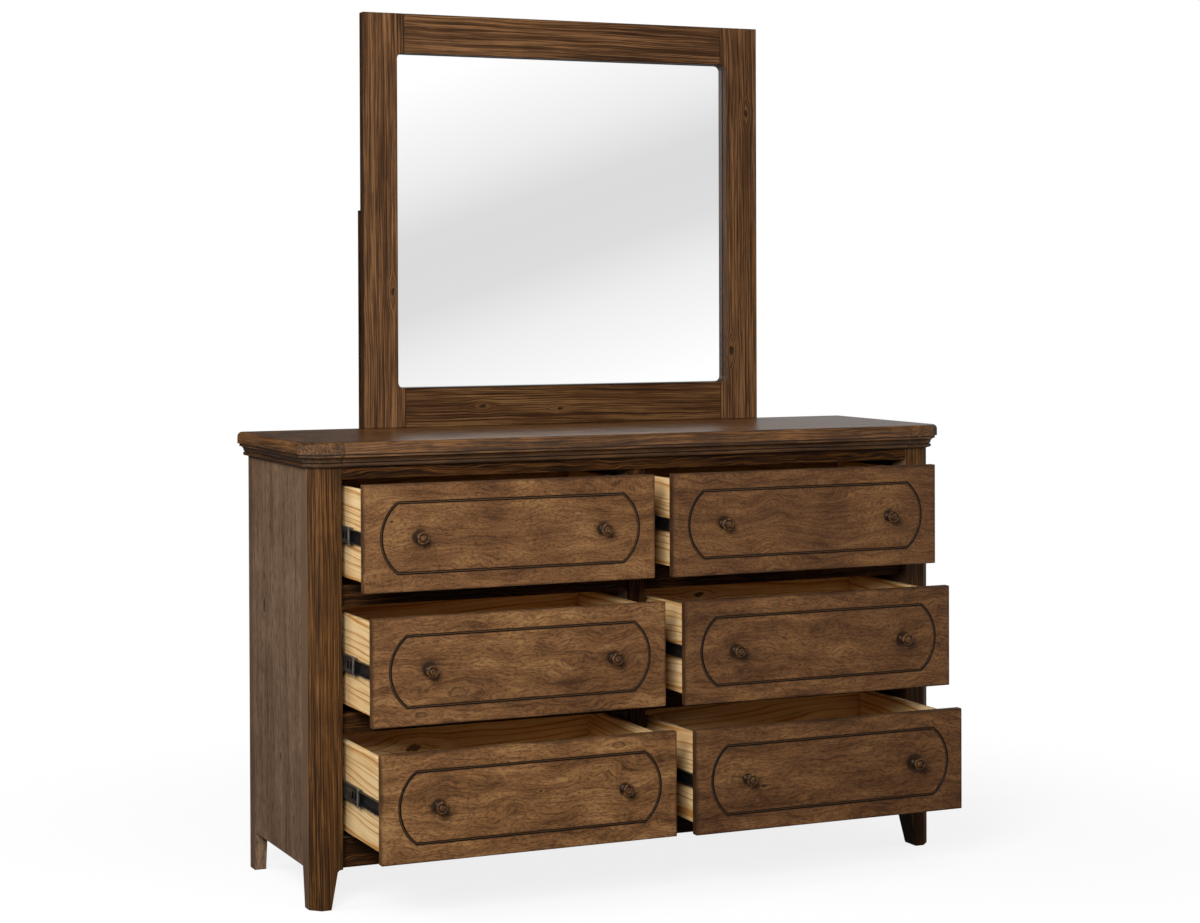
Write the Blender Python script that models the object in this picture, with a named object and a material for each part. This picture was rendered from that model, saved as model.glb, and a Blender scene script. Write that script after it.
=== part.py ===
"""Six drawer dresser with a framed mirror standing on its top.

Metres, +Z up, +X to the right and +Y to the back. The origin is on the floor,
under the middle of the model's bounding box with the drawers part open.
Inside the functions, y is measured from the front face of the posts, and one
empty moves the whole model back to the origin.
"""

import math

import bmesh
import bpy
from mathutils import Vector

# Gaps, cuts and joints
CLEARANCE = 0.0003
CUT_OVERRUN = 0.002
WELD_DEPTH = 0.0005
MERGE_DISTANCE = 0.00001

# Case
CASE_WIDTH = 1.460
CASE_DEPTH = 0.441
POST_WIDTH = 0.0671
POST_DEPTH = 0.060
POST_CHAMFER = 0.021
SIDE_THICKNESS = 0.025
BACK_THICKNESS = 0.005
BOTTOM_THICKNESS = 0.012
PARTITION_THICKNESS = 0.018

# Legs
UNDERSIDE_HEIGHT = 0.080
SIDE_UNDERSIDE_HEIGHT = 0.083
FOOT_WIDTH = 0.042
FOOT_DEPTH = 0.047
LEG_SHOULDER = 0.012
LEG_FILLET = 0.008
REAR_LEG_DEPTH = 0.047
REAR_FOOT_DEPTH = 0.035

# Front frame
APRON_HEIGHT = 0.0555
RAIL_HEIGHT = 0.042
RAIL_THICKNESS = 0.020
RAIL_LAP = 0.002
TOP_RAIL_SHOW = 0.025
STILE_WIDTH = 0.036
STILE_SETBACK = 0.005

# Top and cornice
TOP_THICKNESS = 0.025
TOP_OVERHANG = 0.023
TOP_BACK_OVERHANG = 0.0055
TOP_ROUND = 0.0105
EDGING_WIDTH = 0.050
MOULD_REACH = 0.0185
MOULD_FILLET_HEIGHT = 0.006
COVE_HEIGHT = 0.0106
COVE_FOOT_REACH = 0.009
BEAD_STEP = 0.0015
BEAD_RADIUS = 0.0042
BEAD_REACH = 0.0062

# Drawer fronts
FRONT_HEIGHT = 0.2165
FRONT_THICKNESS = 0.018
FRONT_EASE = 0.001
FRONT_TOP_GAP = 0.0035
FRONT_POST_GAP = 0.0043
FRONT_STILE_GAP = 0.001
FRONT_CLOSE_GAP = 0.001
GROOVE_MARGIN = 0.0375
GROOVE_BULGE = 0.035
GROOVE_WIDTH = 0.0045
GROOVE_FLOOR = 0.0015
GROOVE_DEPTH = 0.0025

# Drawer boxes
BOX_HEIGHT = 0.184
BOX_LIFT = 0.0195
BOX_WALL = 0.012
BOX_REAR_SPACE = 0.028
BOX_BOTTOM_RAISE = 0.010
BOX_BOTTOM_THICKNESS = 0.006

# Knobs
KNOB_SPACING = 0.403
KNOB_RADIUS = 0.013
KNOB_PROJECTION = 0.025

# Telescopic drawer slides, three members each
SLIDE_LENGTH = 0.350
SLIDE_START = 0.020
SLIDE_SPACE = 0.0127
SLIDE_SHEET = 0.0012
CASE_MEMBER_HEIGHT = 0.045
CASE_MEMBER_DEPTH = 0.008
MIDDLE_MEMBER_HEIGHT = 0.034
MIDDLE_MEMBER_OFFSET = 0.002
MIDDLE_MEMBER_DEPTH = 0.008
DRAWER_MEMBER_HEIGHT = 0.026
DRAWER_MEMBER_DEPTH = 0.0085
BALL_STRIP_LENGTH = 0.150
BALL_STRIP_WIDTH = 0.0035
WINDOW_LENGTH = 0.013
WINDOW_HEIGHT = 0.015
WINDOW_PITCH = 0.017
WINDOW_START = 0.016
RUNNER_BLOCK_HEIGHT = 0.060

# How far each drawer stands open
TOP_LEFT_OPENING = 0.124
TOP_RIGHT_OPENING = 0.132
MIDDLE_LEFT_OPENING = 0.174
MIDDLE_RIGHT_OPENING = 0.189
BOTTOM_LEFT_OPENING = 0.225
BOTTOM_RIGHT_OPENING = 0.238

# Mirror
MIRROR_WIDTH = 0.980
MIRROR_HEIGHT = 0.922
MIRROR_THICKNESS = 0.025
MIRROR_SHIFT = 0.020
MIRROR_STILE_WIDTH = 0.096
MIRROR_RAIL_HEIGHT = 0.088
MIRROR_NOTCH = 0.016
MIRROR_CORNER_RADIUS = 0.013
MIRROR_REBATE = 0.008
GLASS_THICKNESS = 0.004
BACKING_THICKNESS = 0.003
BACKING_MARGIN = 0.015
SUPPORT_WIDTH = 0.060
SUPPORT_THICKNESS = 0.015
SUPPORT_RISE = 0.484
SUPPORT_DROP = 0.350

# Counts and shares
ROWS = ("bottom", "middle", "top")
COLUMNS = {"left": -1, "right": 1}
SLIDE_RATIO_SHARE = 0.5
ARC_STEPS = 6
GROOVE_ARC_STEPS = 10
KNOB_STEPS = 18
WINDOW_COUNT = 2
SMOOTH_ANGLE = math.radians(35)

# Knob outline: share of its radius, share of its projection from the front
KNOB_OUTLINE_SHARES = (
    (0.00, 0.00),
    (0.80, 0.00),
    (0.80, 0.10),
    (0.62, 0.17),
    (0.44, 0.24),
    (0.42, 0.40),
    (0.58, 0.46),
    (0.44, 0.54),
    (0.86, 0.68),
    (1.00, 0.78),
    (1.00, 0.90),
    (0.88, 0.98),
    (0.56, 1.00),
    (0.52, 0.97),
    (0.48, 1.00),
    (0.00, 1.00),
)

# Heights worked out from the floor up
APRON_TOP = UNDERSIDE_HEIGHT + APRON_HEIGHT
FIRST_FRONT_BASE = APRON_TOP - RAIL_LAP
ROW_PITCH = FRONT_HEIGHT + FRONT_TOP_GAP + RAIL_HEIGHT - RAIL_LAP
TOP_RAIL_BASE = FIRST_FRONT_BASE + (len(ROWS) - 1) * ROW_PITCH + FRONT_HEIGHT + FRONT_TOP_GAP
CORNICE_BASE = TOP_RAIL_BASE + TOP_RAIL_SHOW
CORNICE_DROP = 2 * BEAD_RADIUS + BEAD_STEP + COVE_HEIGHT + MOULD_FILLET_HEIGHT
CASE_TOP = CORNICE_BASE + CORNICE_DROP
TOP_SURFACE = CASE_TOP + TOP_THICKNESS

# Widths and depths worked out from the case
CASE_SIDE = CASE_WIDTH / 2
POST_INNER = CASE_SIDE - POST_WIDTH
SIDE_INNER = CASE_SIDE - SIDE_THICKNESS
STILE_SIDE = STILE_WIDTH / 2
RAIL_SETBACK = FRONT_THICKNESS + FRONT_CLOSE_GAP
RAIL_BACK = RAIL_SETBACK + RAIL_THICKNESS
BACK_FACE = CASE_DEPTH - BACK_THICKNESS
TOP_BACK = CASE_DEPTH + TOP_BACK_OVERHANG
FRONT_INNER = STILE_SIDE + FRONT_STILE_GAP
FRONT_OUTER = POST_INNER - FRONT_POST_GAP
FRONT_WIDTH = FRONT_OUTER - FRONT_INNER
FRONT_CENTRE = (FRONT_INNER + FRONT_OUTER) / 2
OUTER_RUNNER_FACE = POST_INNER - CLEARANCE
INNER_RUNNER_FACE = STILE_SIDE
BOX_BACK = BACK_FACE - BOX_REAR_SPACE

OPENINGS = {
    ("top", "left"): TOP_LEFT_OPENING,
    ("top", "right"): TOP_RIGHT_OPENING,
    ("middle", "left"): MIDDLE_LEFT_OPENING,
    ("middle", "right"): MIDDLE_RIGHT_OPENING,
    ("bottom", "left"): BOTTOM_LEFT_OPENING,
    ("bottom", "right"): BOTTOM_RIGHT_OPENING,
}

# The model's bounding box runs from the furthest knob to the mirror's supports
MODEL_FRONT = -max(OPENINGS.values()) - CLEARANCE - KNOB_PROJECTION
MODEL_BACK = TOP_BACK + CLEARANCE + SUPPORT_THICKNESS
ORIGIN_DEPTH = (MODEL_FRONT + MODEL_BACK) / 2


def clear_scene():
    """Remove every object of the scene the script starts in."""
    for item in list(bpy.data.objects):
        bpy.data.objects.remove(item, do_unlink=True)


def linear(channel):
    """Turn one sRGB channel from 0 to 255 into a linear value."""
    value = channel / 255
    if value <= 0.04045:
        return value / 12.92
    return ((value + 0.055) / 1.055) ** 2.4


def material(name, red, green, blue, roughness, metallic=0.0):
    """Make one plain material from an sRGB colour."""
    made = bpy.data.materials.new(name)
    made.use_nodes = True
    shader = made.node_tree.nodes["Principled BSDF"]
    shader.inputs["Base Color"].default_value = (linear(red), linear(green), linear(blue), 1)
    shader.inputs["Roughness"].default_value = roughness
    shader.inputs["Metallic"].default_value = metallic
    return made


def case_wood():
    """Brown stained wood of the posts, sides and frame."""
    return material("case_wood", 99, 71, 48, 0.50)


def top_wood():
    """The same stain with a satin lacquer on the top and cornice."""
    return material("top_wood", 92, 66, 46, 0.38)


def front_wood():
    """Mottled brown stained wood of the drawer fronts."""
    return material("front_wood", 106, 76, 52, 0.50)


def knob_wood():
    """Dark stained turned wood."""
    return material("knob_wood", 78, 52, 34, 0.42)


def mirror_wood():
    """Walnut brown of the mirror's frame."""
    return material("mirror_wood", 101, 71, 46, 0.45)


def pine():
    """Pale unstained pine of the drawer boxes."""
    return material("pine", 226, 198, 145, 0.60)


def inner_board():
    """Pale grey brown board inside and behind the case."""
    return material("inner_board", 150, 132, 112, 0.75)


def slide_steel():
    """Black zinc plated sheet steel of the slides."""
    return material("slide_steel", 38, 38, 41, 0.38, 0.9)


def mirror_silver():
    """Silvered glass."""
    return material("mirror_silver", 236, 238, 240, 0.02, 1.0)


def pivot(name, parent, x, y, z):
    """Make an empty that carries the pieces of one body."""
    empty = bpy.data.objects.new(name, None)
    bpy.context.scene.collection.objects.link(empty)
    empty.parent = parent
    empty.location = (x, y, z)
    return empty


def place(axis, first, second, along):
    """Put a point of a flat outline into space, with the outline across one axis."""
    if axis == "X":
        return Vector((along, first, second))
    if axis == "Y":
        return Vector((first, along, second))
    return Vector((first, second, along))


def rectangle(low_first, high_first, low_second, high_second):
    """Corner points of a flat rectangle."""
    return [
        (low_first, low_second),
        (high_first, low_second),
        (high_first, high_second),
        (low_first, high_second),
    ]


def arc(centre_first, centre_second, first_radius, second_radius, start, end, steps=ARC_STEPS):
    """Points along part of an ellipse, with its angles in degrees."""
    points = []
    for step in range(steps + 1):
        angle = math.radians(start + (end - start) * step / steps)
        first = centre_first + first_radius * math.cos(angle)
        second = centre_second + second_radius * math.sin(angle)
        points.append((first, second))
    return points


def finish(name, bm, parent, finish_material):
    """Turn a bmesh into an object with its faces pointing out."""
    bmesh.ops.remove_doubles(bm, verts=bm.verts[:], dist=MERGE_DISTANCE)
    bmesh.ops.recalc_face_normals(bm, faces=bm.faces[:])
    mesh = bpy.data.meshes.new(name)
    bm.to_mesh(mesh)
    bm.free()
    made = bpy.data.objects.new(name, mesh)
    bpy.context.scene.collection.objects.link(made)
    made.parent = parent
    if finish_material is not None:
        mesh.materials.append(finish_material)
    return made


def shade_smooth(made):
    """Shade the round stretches smooth and keep the corners sharp."""
    made.data.shade_smooth()
    made.data.set_sharp_from_angle(angle=SMOOTH_ANGLE)


def prism(name, outline, axis, low, high, parent, finish_material=None):
    """Extrude a closed flat outline along one axis, from low to high."""
    bm = bmesh.new()
    corners = [bm.verts.new(place(axis, first, second, low)) for first, second in outline]
    base = bm.faces.new(corners)
    result = bmesh.ops.extrude_face_region(bm, geom=[base])
    moved = [item for item in result["geom"] if isinstance(item, bmesh.types.BMVert)]
    bmesh.ops.translate(bm, verts=moved, vec=place(axis, 0, 0, high - low))
    return finish(name, bm, parent, finish_material)


def sweep(name, sections, parent, finish_material=None, closed=False):
    """Join sections with the same number of points into one solid."""
    bm = bmesh.new()
    rings = [[bm.verts.new(point) for point in section] for section in sections]
    count = len(rings[0])
    spans = list(zip(rings, rings[1:]))
    if closed:
        spans.append((rings[-1], rings[0]))
    for here, there in spans:
        for index in range(count):
            following = (index + 1) % count
            bm.faces.new((here[index], here[following], there[following], there[index]))
    if not closed:
        bm.faces.new(rings[0])
        bm.faces.new(rings[-1])
    return finish(name, bm, parent, finish_material)


def turned(name, outline, steps, parent, finish_material):
    """Spin an outline of radius and distance round the -Y axis."""
    bm = bmesh.new()
    corners = [bm.verts.new((radius, -distance, 0)) for radius, distance in outline]
    edges = [bm.edges.new(pair) for pair in zip(corners, corners[1:])]
    bmesh.ops.spin(
        bm,
        geom=corners + edges,
        cent=(0, 0, 0),
        axis=(0, 1, 0),
        angle=math.tau,
        steps=steps,
        use_merge=True,
    )
    made = finish(name, bm, parent, finish_material)
    shade_smooth(made)
    return made


def combine(target, tool, operation):
    """Cut a tool out of a piece, join it on, or keep what both share."""
    modifier = target.modifiers.new(tool.name, "BOOLEAN")
    modifier.operation = operation
    modifier.solver = "EXACT"
    modifier.object = tool
    tool.hide_render = True
    tool.display_type = "WIRE"


def slide_outline(base, direction, points):
    """Turn a slide's section, measured from its mounting face, into x and z."""
    return [(base + direction * offset, height) for offset, height in points]


def channel(near, far, height, open_far):
    """Outline of a folded sheet channel between two offsets from the mounting face."""
    top = height / 2
    inner = top - SLIDE_SHEET
    if open_far:
        web = near + SLIDE_SHEET
        return [
            (near, -top),
            (far, -top),
            (far, -inner),
            (web, -inner),
            (web, inner),
            (far, inner),
            (far, top),
            (near, top),
        ]
    web = far - SLIDE_SHEET
    return [
        (near, -top),
        (far, -top),
        (far, top),
        (near, top),
        (near, inner),
        (web, inner),
        (web, -inner),
        (near, -inner),
    ]


def moved_up(outline, height):
    """Shift an outline's second coordinate."""
    return [(first, second + height) for first, second in outline]


def front_base(row):
    """Height of the lower edge of the drawer fronts in a row."""
    return FIRST_FRONT_BASE + ROWS.index(row) * ROW_PITCH


def slide_height(row):
    """Height of the middle of the slides in a row."""
    return front_base(row) + FRONT_HEIGHT / 2


def block_outline(base, direction, block_depth, height):
    """Runner block seen from the front, with a strip that ties it into the slide's web."""
    half = RUNNER_BLOCK_HEIGHT / 2
    strip = CASE_MEMBER_HEIGHT / 2 - SLIDE_SHEET
    wall = -(block_depth + WELD_DEPTH)
    points = [
        (wall, -half),
        (0, -half),
        (0, -strip),
        (WELD_DEPTH, -strip),
        (WELD_DEPTH, strip),
        (0, strip),
        (0, half),
        (wall, half),
    ]
    return moved_up(slide_outline(base, direction, points), height)


def case_members(name, parent, base, direction, block_depth):
    """Runner blocks and the slides' fixed members on one face, as joining tools."""
    tools = []
    block_start = POST_DEPTH + CLEARANCE
    block_end = BACK_FACE - CLEARANCE
    for row in ROWS:
        height = slide_height(row)
        block = block_outline(base, direction, block_depth, height)
        tools.append(prism(f"{name}_{row}_block", block, "Y", block_start, block_end, parent))
        section = channel(0, CASE_MEMBER_DEPTH, CASE_MEMBER_HEIGHT, True)
        outline = moved_up(slide_outline(base, direction, section), height)
        slide_end = SLIDE_START + SLIDE_LENGTH
        tools.append(prism(f"{name}_{row}_member", outline, "Y", SLIDE_START, slide_end, parent))
    return tools


def make_posts(parent, wood):
    """Front posts with a chamfered outer corner and a tapered leg."""
    top = CASE_TOP - CLEARANCE
    leg_width = POST_WIDTH - LEG_SHOULDER
    inner_line = arc(
        leg_width + LEG_FILLET, UNDERSIDE_HEIGHT - LEG_FILLET, LEG_FILLET, LEG_FILLET, 180, 90
    )
    front_view = [(0, 0), (FOOT_WIDTH, 0)] + inner_line + [
        (POST_WIDTH, UNDERSIDE_HEIGHT),
        (POST_WIDTH, top),
        (0, top),
    ]
    side_view = [
        (-CUT_OVERRUN, -CUT_OVERRUN),
        (FOOT_DEPTH, -CUT_OVERRUN),
        (FOOT_DEPTH, 0),
        (POST_DEPTH, SIDE_UNDERSIDE_HEIGHT),
        (POST_DEPTH, top + CUT_OVERRUN),
        (-CUT_OVERRUN, top + CUT_OVERRUN),
    ]
    corner = [
        (-CUT_OVERRUN, -CUT_OVERRUN),
        (POST_CHAMFER + CUT_OVERRUN, -CUT_OVERRUN),
        (-CUT_OVERRUN, POST_CHAMFER + CUT_OVERRUN),
    ]
    for name, side in COLUMNS.items():
        outline = [(side * (CASE_SIDE - inward), height) for inward, height in front_view]
        post = prism(f"front_post_{name}", outline, "Y", 0, POST_DEPTH, parent, wood)
        low, high = sorted((side * (CASE_SIDE + CUT_OVERRUN), side * (POST_INNER - CUT_OVERRUN)))
        keep = prism(f"front_post_{name}_side_view", side_view, "X", low, high, parent)
        combine(post, keep, "INTERSECT")
        outline = [(side * (CASE_SIDE - inward), depth) for inward, depth in corner]
        chamfer = prism(
            f"front_post_{name}_chamfer", outline, "Z", -CUT_OVERRUN, top + CUT_OVERRUN, parent
        )
        combine(post, chamfer, "DIFFERENCE")


def make_side_panels(parent, wood):
    """Side panels with the rear legs in their outline and the outer runners on them."""
    top = CASE_TOP - CLEARANCE
    leg_front = CASE_DEPTH - REAR_LEG_DEPTH
    fillet = arc(
        leg_front - LEG_FILLET, SIDE_UNDERSIDE_HEIGHT - LEG_FILLET, LEG_FILLET, LEG_FILLET, 90, 0
    )
    outline = [(POST_DEPTH + CLEARANCE, SIDE_UNDERSIDE_HEIGHT)] + fillet + [
        (CASE_DEPTH - REAR_FOOT_DEPTH, 0),
        (CASE_DEPTH, 0),
        (CASE_DEPTH, top),
        (POST_DEPTH + CLEARANCE, top),
    ]
    for name, side in COLUMNS.items():
        low, high = sorted((side * SIDE_INNER, side * CASE_SIDE))
        panel = prism(f"side_panel_{name}", outline, "X", low, high, parent, wood)
        depth = SIDE_INNER - OUTER_RUNNER_FACE
        tools = case_members(f"side_{name}", parent, side * OUTER_RUNNER_FACE, -side, depth)
        for tool in tools:
            combine(panel, tool, "UNION")


def make_partition(parent, board):
    """Centre panel with the inner runners on both its faces."""
    half = PARTITION_THICKNESS / 2
    outline = rectangle(-half, half, APRON_TOP + CLEARANCE, CASE_TOP - CLEARANCE)
    panel = prism(
        "centre_partition", outline, "Y", RAIL_BACK + CLEARANCE, BACK_FACE - CLEARANCE, parent, board
    )
    for name, side in COLUMNS.items():
        depth = INNER_RUNNER_FACE - half
        tools = case_members(f"partition_{name}", parent, side * INNER_RUNNER_FACE, side, depth)
        for tool in tools:
            combine(panel, tool, "UNION")


def make_back_and_bottom(parent, board):
    """Thin back panel and the bottom panel that fits round the posts."""
    width = SIDE_INNER - CLEARANCE
    outline = rectangle(-width, width, SIDE_UNDERSIDE_HEIGHT, CASE_TOP - CLEARANCE)
    prism("back_panel", outline, "Y", BACK_FACE, CASE_DEPTH, parent, board)
    between_posts = POST_INNER - CLEARANCE
    front = RAIL_BACK + CLEARANCE
    behind_posts = POST_DEPTH + CLEARANCE
    back = BACK_FACE - CLEARANCE
    outline = [
        (-between_posts, front),
        (between_posts, front),
        (between_posts, behind_posts),
        (width, behind_posts),
        (width, back),
        (-width, back),
        (-width, behind_posts),
        (-between_posts, behind_posts),
    ]
    prism("bottom_panel", outline, "Z", APRON_TOP - BOTTOM_THICKNESS, APRON_TOP, parent, board)


def make_front_frame(parent, wood):
    """Top rail, two drawer rails, the apron and the centre stile that laps over them."""
    width = POST_INNER - CLEARANCE
    outline = rectangle(-width, width, TOP_RAIL_BASE, CASE_TOP - CLEARANCE)
    prism("top_rail", outline, "Y", 0, RAIL_THICKNESS, parent, wood)
    for name, row in (("lower", "bottom"), ("upper", "middle")):
        base = front_base(row) + FRONT_HEIGHT + FRONT_TOP_GAP
        outline = rectangle(-width, width, base, base + RAIL_HEIGHT)
        prism(f"drawer_rail_{name}", outline, "Y", RAIL_SETBACK, RAIL_BACK, parent, wood)
    outline = rectangle(-width, width, UNDERSIDE_HEIGHT, APRON_TOP)
    prism("apron", outline, "Y", RAIL_SETBACK, RAIL_BACK, parent, wood)
    outline = rectangle(-STILE_SIDE, STILE_SIDE, UNDERSIDE_HEIGHT, TOP_RAIL_BASE - CLEARANCE)
    prism("centre_stile", outline, "Y", STILE_SETBACK, RAIL_SETBACK - CLEARANCE, parent, wood)


def cornice_outline():
    """Edge moulding from the top's inner edge round to its foot, as reach and height."""
    bead_top = CORNICE_BASE + 2 * BEAD_RADIUS
    cove_foot = bead_top + BEAD_STEP
    nose = arc(TOP_OVERHANG - TOP_ROUND, TOP_SURFACE - TOP_ROUND, TOP_ROUND, TOP_ROUND, 90, 0)
    cove = arc(MOULD_REACH, cove_foot, MOULD_REACH - COVE_FOOT_REACH, COVE_HEIGHT, 90, 180)
    bead = arc(BEAD_REACH, CORNICE_BASE + BEAD_RADIUS, BEAD_RADIUS, BEAD_RADIUS, 90, -90)
    outer = nose + [(TOP_OVERHANG, CASE_TOP), (MOULD_REACH, CASE_TOP)] + cove + bead
    inner = [
        (CLEARANCE, CORNICE_BASE),
        (CLEARANCE, CASE_TOP),
        (-EDGING_WIDTH, CASE_TOP),
        (-EDGING_WIDTH, TOP_SURFACE),
    ]
    return outer + inner


def corner_section(side, reach_and_height, station):
    """Section of the end moulding where its path starts, turns twice or ends."""
    points = []
    for reach, height in reach_and_height:
        turn = POST_CHAMFER - reach * (math.sqrt(2) - 1)
        if reach < 0:
            turn = -reach
        if station == "seam":
            x, y = POST_INNER, -reach
        elif station == "front_turn":
            x, y = CASE_SIDE - turn, -reach
        elif station == "side_turn":
            x, y = CASE_SIDE + reach, turn
        else:
            x, y = CASE_SIDE + reach, TOP_BACK
        points.append(Vector((side * x, y, height)))
    return points


def make_top(parent, wood):
    """Top panel, front cornice and the end mouldings that wrap the chamfered corners."""
    outline = cornice_outline()
    for name, side in COLUMNS.items():
        stations = ("seam", "front_turn", "side_turn", "back")
        sections = [corner_section(side, outline, station) for station in stations]
        shade_smooth(sweep(f"top_end_{name}", sections, parent, wood))
    front = [(-reach, height) for reach, height in outline]
    length = POST_INNER - CLEARANCE
    shade_smooth(prism("cornice_front", front, "X", -length, length, parent, wood))
    width = CASE_SIDE - EDGING_WIDTH - CLEARANCE
    outline = rectangle(-width, width, EDGING_WIDTH + CLEARANCE, TOP_BACK)
    prism("top_panel", outline, "Z", CASE_TOP, TOP_SURFACE, parent, wood)


def groove_loop(offset):
    """Closed line of the front's groove, widened by an offset, round the front's centre."""
    half_height = FRONT_HEIGHT / 2 - GROOVE_MARGIN
    reach = FRONT_WIDTH / 2 - GROOVE_MARGIN
    radius = (half_height**2 + GROOVE_BULGE**2) / (2 * GROOVE_BULGE)
    centre = reach - radius
    wide_radius = radius + offset
    end = math.degrees(math.asin((half_height + offset) / wide_radius))
    right = arc(centre, 0, wide_radius, wide_radius, -end, end, GROOVE_ARC_STEPS)
    left = [(-x, -z) for x, z in right]
    return right + left


def groove_cutter(name, parent):
    """Ring that routs the groove out of a drawer front."""
    wide = GROOVE_WIDTH / 2
    narrow = GROOVE_FLOOR / 2
    flare = wide + (wide - narrow) * CUT_OVERRUN / GROOVE_DEPTH
    corners = ((flare, -CUT_OVERRUN), (narrow, GROOVE_DEPTH), (-narrow, GROOVE_DEPTH), (-flare, -CUT_OVERRUN))
    loops = []
    for offset, depth in corners:
        line = groove_loop(offset)
        loops.append([Vector((x, depth, z + FRONT_HEIGHT / 2)) for x, z in line])
    return sweep(name, loops, parent, closed=True)


def make_front(name, parent, wood):
    """Drawer front with eased edges and the routed groove."""
    half = FRONT_WIDTH / 2
    outline = rectangle(-half, half, 0, FRONT_HEIGHT)
    front = prism(f"{name}_front", outline, "Y", 0, FRONT_THICKNESS, parent, wood)
    ease = front.modifiers.new("ease", "BEVEL")
    ease.width = FRONT_EASE
    ease.segments = 1
    combine(front, groove_cutter(f"{name}_groove", parent), "DIFFERENCE")


def make_knobs(name, parent, wood):
    """Two turned knobs on a drawer front."""
    outline = []
    for radius_share, distance_share in KNOB_OUTLINE_SHARES:
        outline.append((radius_share * KNOB_RADIUS, distance_share * KNOB_PROJECTION))
    for label, side in COLUMNS.items():
        knob = turned(f"{name}_knob_{label}", outline, KNOB_STEPS, parent, wood)
        knob.location = (side * KNOB_SPACING / 2, -CLEARANCE, FRONT_HEIGHT / 2)


def slide_bases(column):
    """Mounting faces of a drawer's two slides, as x and the way towards the drawer."""
    side = COLUMNS[column]
    outer = (side * OUTER_RUNNER_FACE, -side)
    inner = (side * INNER_RUNNER_FACE, side)
    if column == "left":
        return {"left": outer, "right": inner}
    return {"left": inner, "right": outer}


def make_box(name, column, parent, wood):
    """Open drawer box with the slides' drawer members on its sides."""
    centre = COLUMNS[column] * FRONT_CENTRE
    bases = slide_bases(column)
    left = bases["left"][0] + SLIDE_SPACE - centre
    right = bases["right"][0] - SLIDE_SPACE - centre
    front = FRONT_THICKNESS + CLEARANCE
    top = BOX_LIFT + BOX_HEIGHT
    outline = rectangle(left, right, BOX_LIFT, top)
    box = prism(f"{name}_box", outline, "Y", front, BOX_BACK, parent, wood)
    floor = BOX_LIFT + BOX_BOTTOM_RAISE
    inside = rectangle(left + BOX_WALL, right - BOX_WALL, floor + BOX_BOTTOM_THICKNESS, top + CUT_OVERRUN)
    below = rectangle(left + BOX_WALL, right - BOX_WALL, BOX_LIFT - CUT_OVERRUN, floor)
    for label, hollow in (("inside", inside), ("below", below)):
        tool = prism(f"{name}_{label}", hollow, "Y", front + BOX_WALL, BOX_BACK - BOX_WALL, parent)
        combine(box, tool, "DIFFERENCE")
    near = SLIDE_SPACE - DRAWER_MEMBER_DEPTH
    section = channel(near, SLIDE_SPACE, DRAWER_MEMBER_HEIGHT, False)
    section[1] = (SLIDE_SPACE + WELD_DEPTH, section[1][1])
    section[2] = (SLIDE_SPACE + WELD_DEPTH, section[2][1])
    for label, (base, direction) in bases.items():
        outline = slide_outline(base - centre, direction, section)
        outline = moved_up(outline, FRONT_HEIGHT / 2)
        member = prism(
            f"{name}_{label}_member", outline, "Y", SLIDE_START, SLIDE_START + SLIDE_LENGTH, parent
        )
        combine(box, member, "UNION")


def ball_strips(base, direction):
    """Ball cages of a middle member, as name, outline and ends along the slide."""
    middle = MIDDLE_MEMBER_OFFSET + MIDDLE_MEMBER_DEPTH / 2
    near = middle - BALL_STRIP_WIDTH / 2
    far = middle + BALL_STRIP_WIDTH / 2
    top = MIDDLE_MEMBER_HEIGHT / 2
    outer_end = CASE_MEMBER_HEIGHT / 2 - SLIDE_SHEET - CLEARANCE
    inner_end = DRAWER_MEMBER_HEIGHT / 2 + CLEARANCE
    slide_end = SLIDE_START + SLIDE_LENGTH
    rear = (slide_end - BALL_STRIP_LENGTH, slide_end - WELD_DEPTH)
    fore = (SLIDE_START + WELD_DEPTH, SLIDE_START + BALL_STRIP_LENGTH)
    inner_near = SLIDE_SPACE - DRAWER_MEMBER_DEPTH + SLIDE_SHEET
    inner_far = MIDDLE_MEMBER_OFFSET + MIDDLE_MEMBER_DEPTH - SLIDE_SHEET
    strips = []
    for label, sign in (("upper", 1), ("lower", -1)):
        low, high = sorted((sign * (top - WELD_DEPTH), sign * outer_end))
        outline = slide_outline(base, direction, rectangle(near, far, low, high))
        strips.append((f"outer_{label}", outline, rear))
        low, high = sorted((sign * inner_end, sign * (top - SLIDE_SHEET + WELD_DEPTH)))
        outline = slide_outline(base, direction, rectangle(inner_near, inner_far, low, high))
        strips.append((f"inner_{label}", outline, fore))
    return strips


def make_middle_member(name, base, direction, parent, steel):
    """Moving middle member of a slide, with its windows and ball cages."""
    far = MIDDLE_MEMBER_OFFSET + MIDDLE_MEMBER_DEPTH
    section = channel(MIDDLE_MEMBER_OFFSET, far, MIDDLE_MEMBER_HEIGHT, True)
    slide_end = SLIDE_START + SLIDE_LENGTH
    member = prism(
        name, slide_outline(base, direction, section), "Y", SLIDE_START, slide_end, parent, steel
    )
    for label, outline, (start, end) in ball_strips(base, direction):
        combine(member, prism(f"{name}_{label}", outline, "Y", start, end, parent), "UNION")
    web_low, web_high = sorted(
        (
            base + direction * (MIDDLE_MEMBER_OFFSET - WELD_DEPTH),
            base + direction * (MIDDLE_MEMBER_OFFSET + SLIDE_SHEET + WELD_DEPTH),
        )
    )
    for index in range(WINDOW_COUNT):
        start = SLIDE_START + WINDOW_START + index * WINDOW_PITCH
        outline = rectangle(start, start + WINDOW_LENGTH, -WINDOW_HEIGHT / 2, WINDOW_HEIGHT / 2)
        window = prism(f"{name}_window_{index}", outline, "X", web_low, web_high, parent)
        combine(member, window, "DIFFERENCE")


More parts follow.
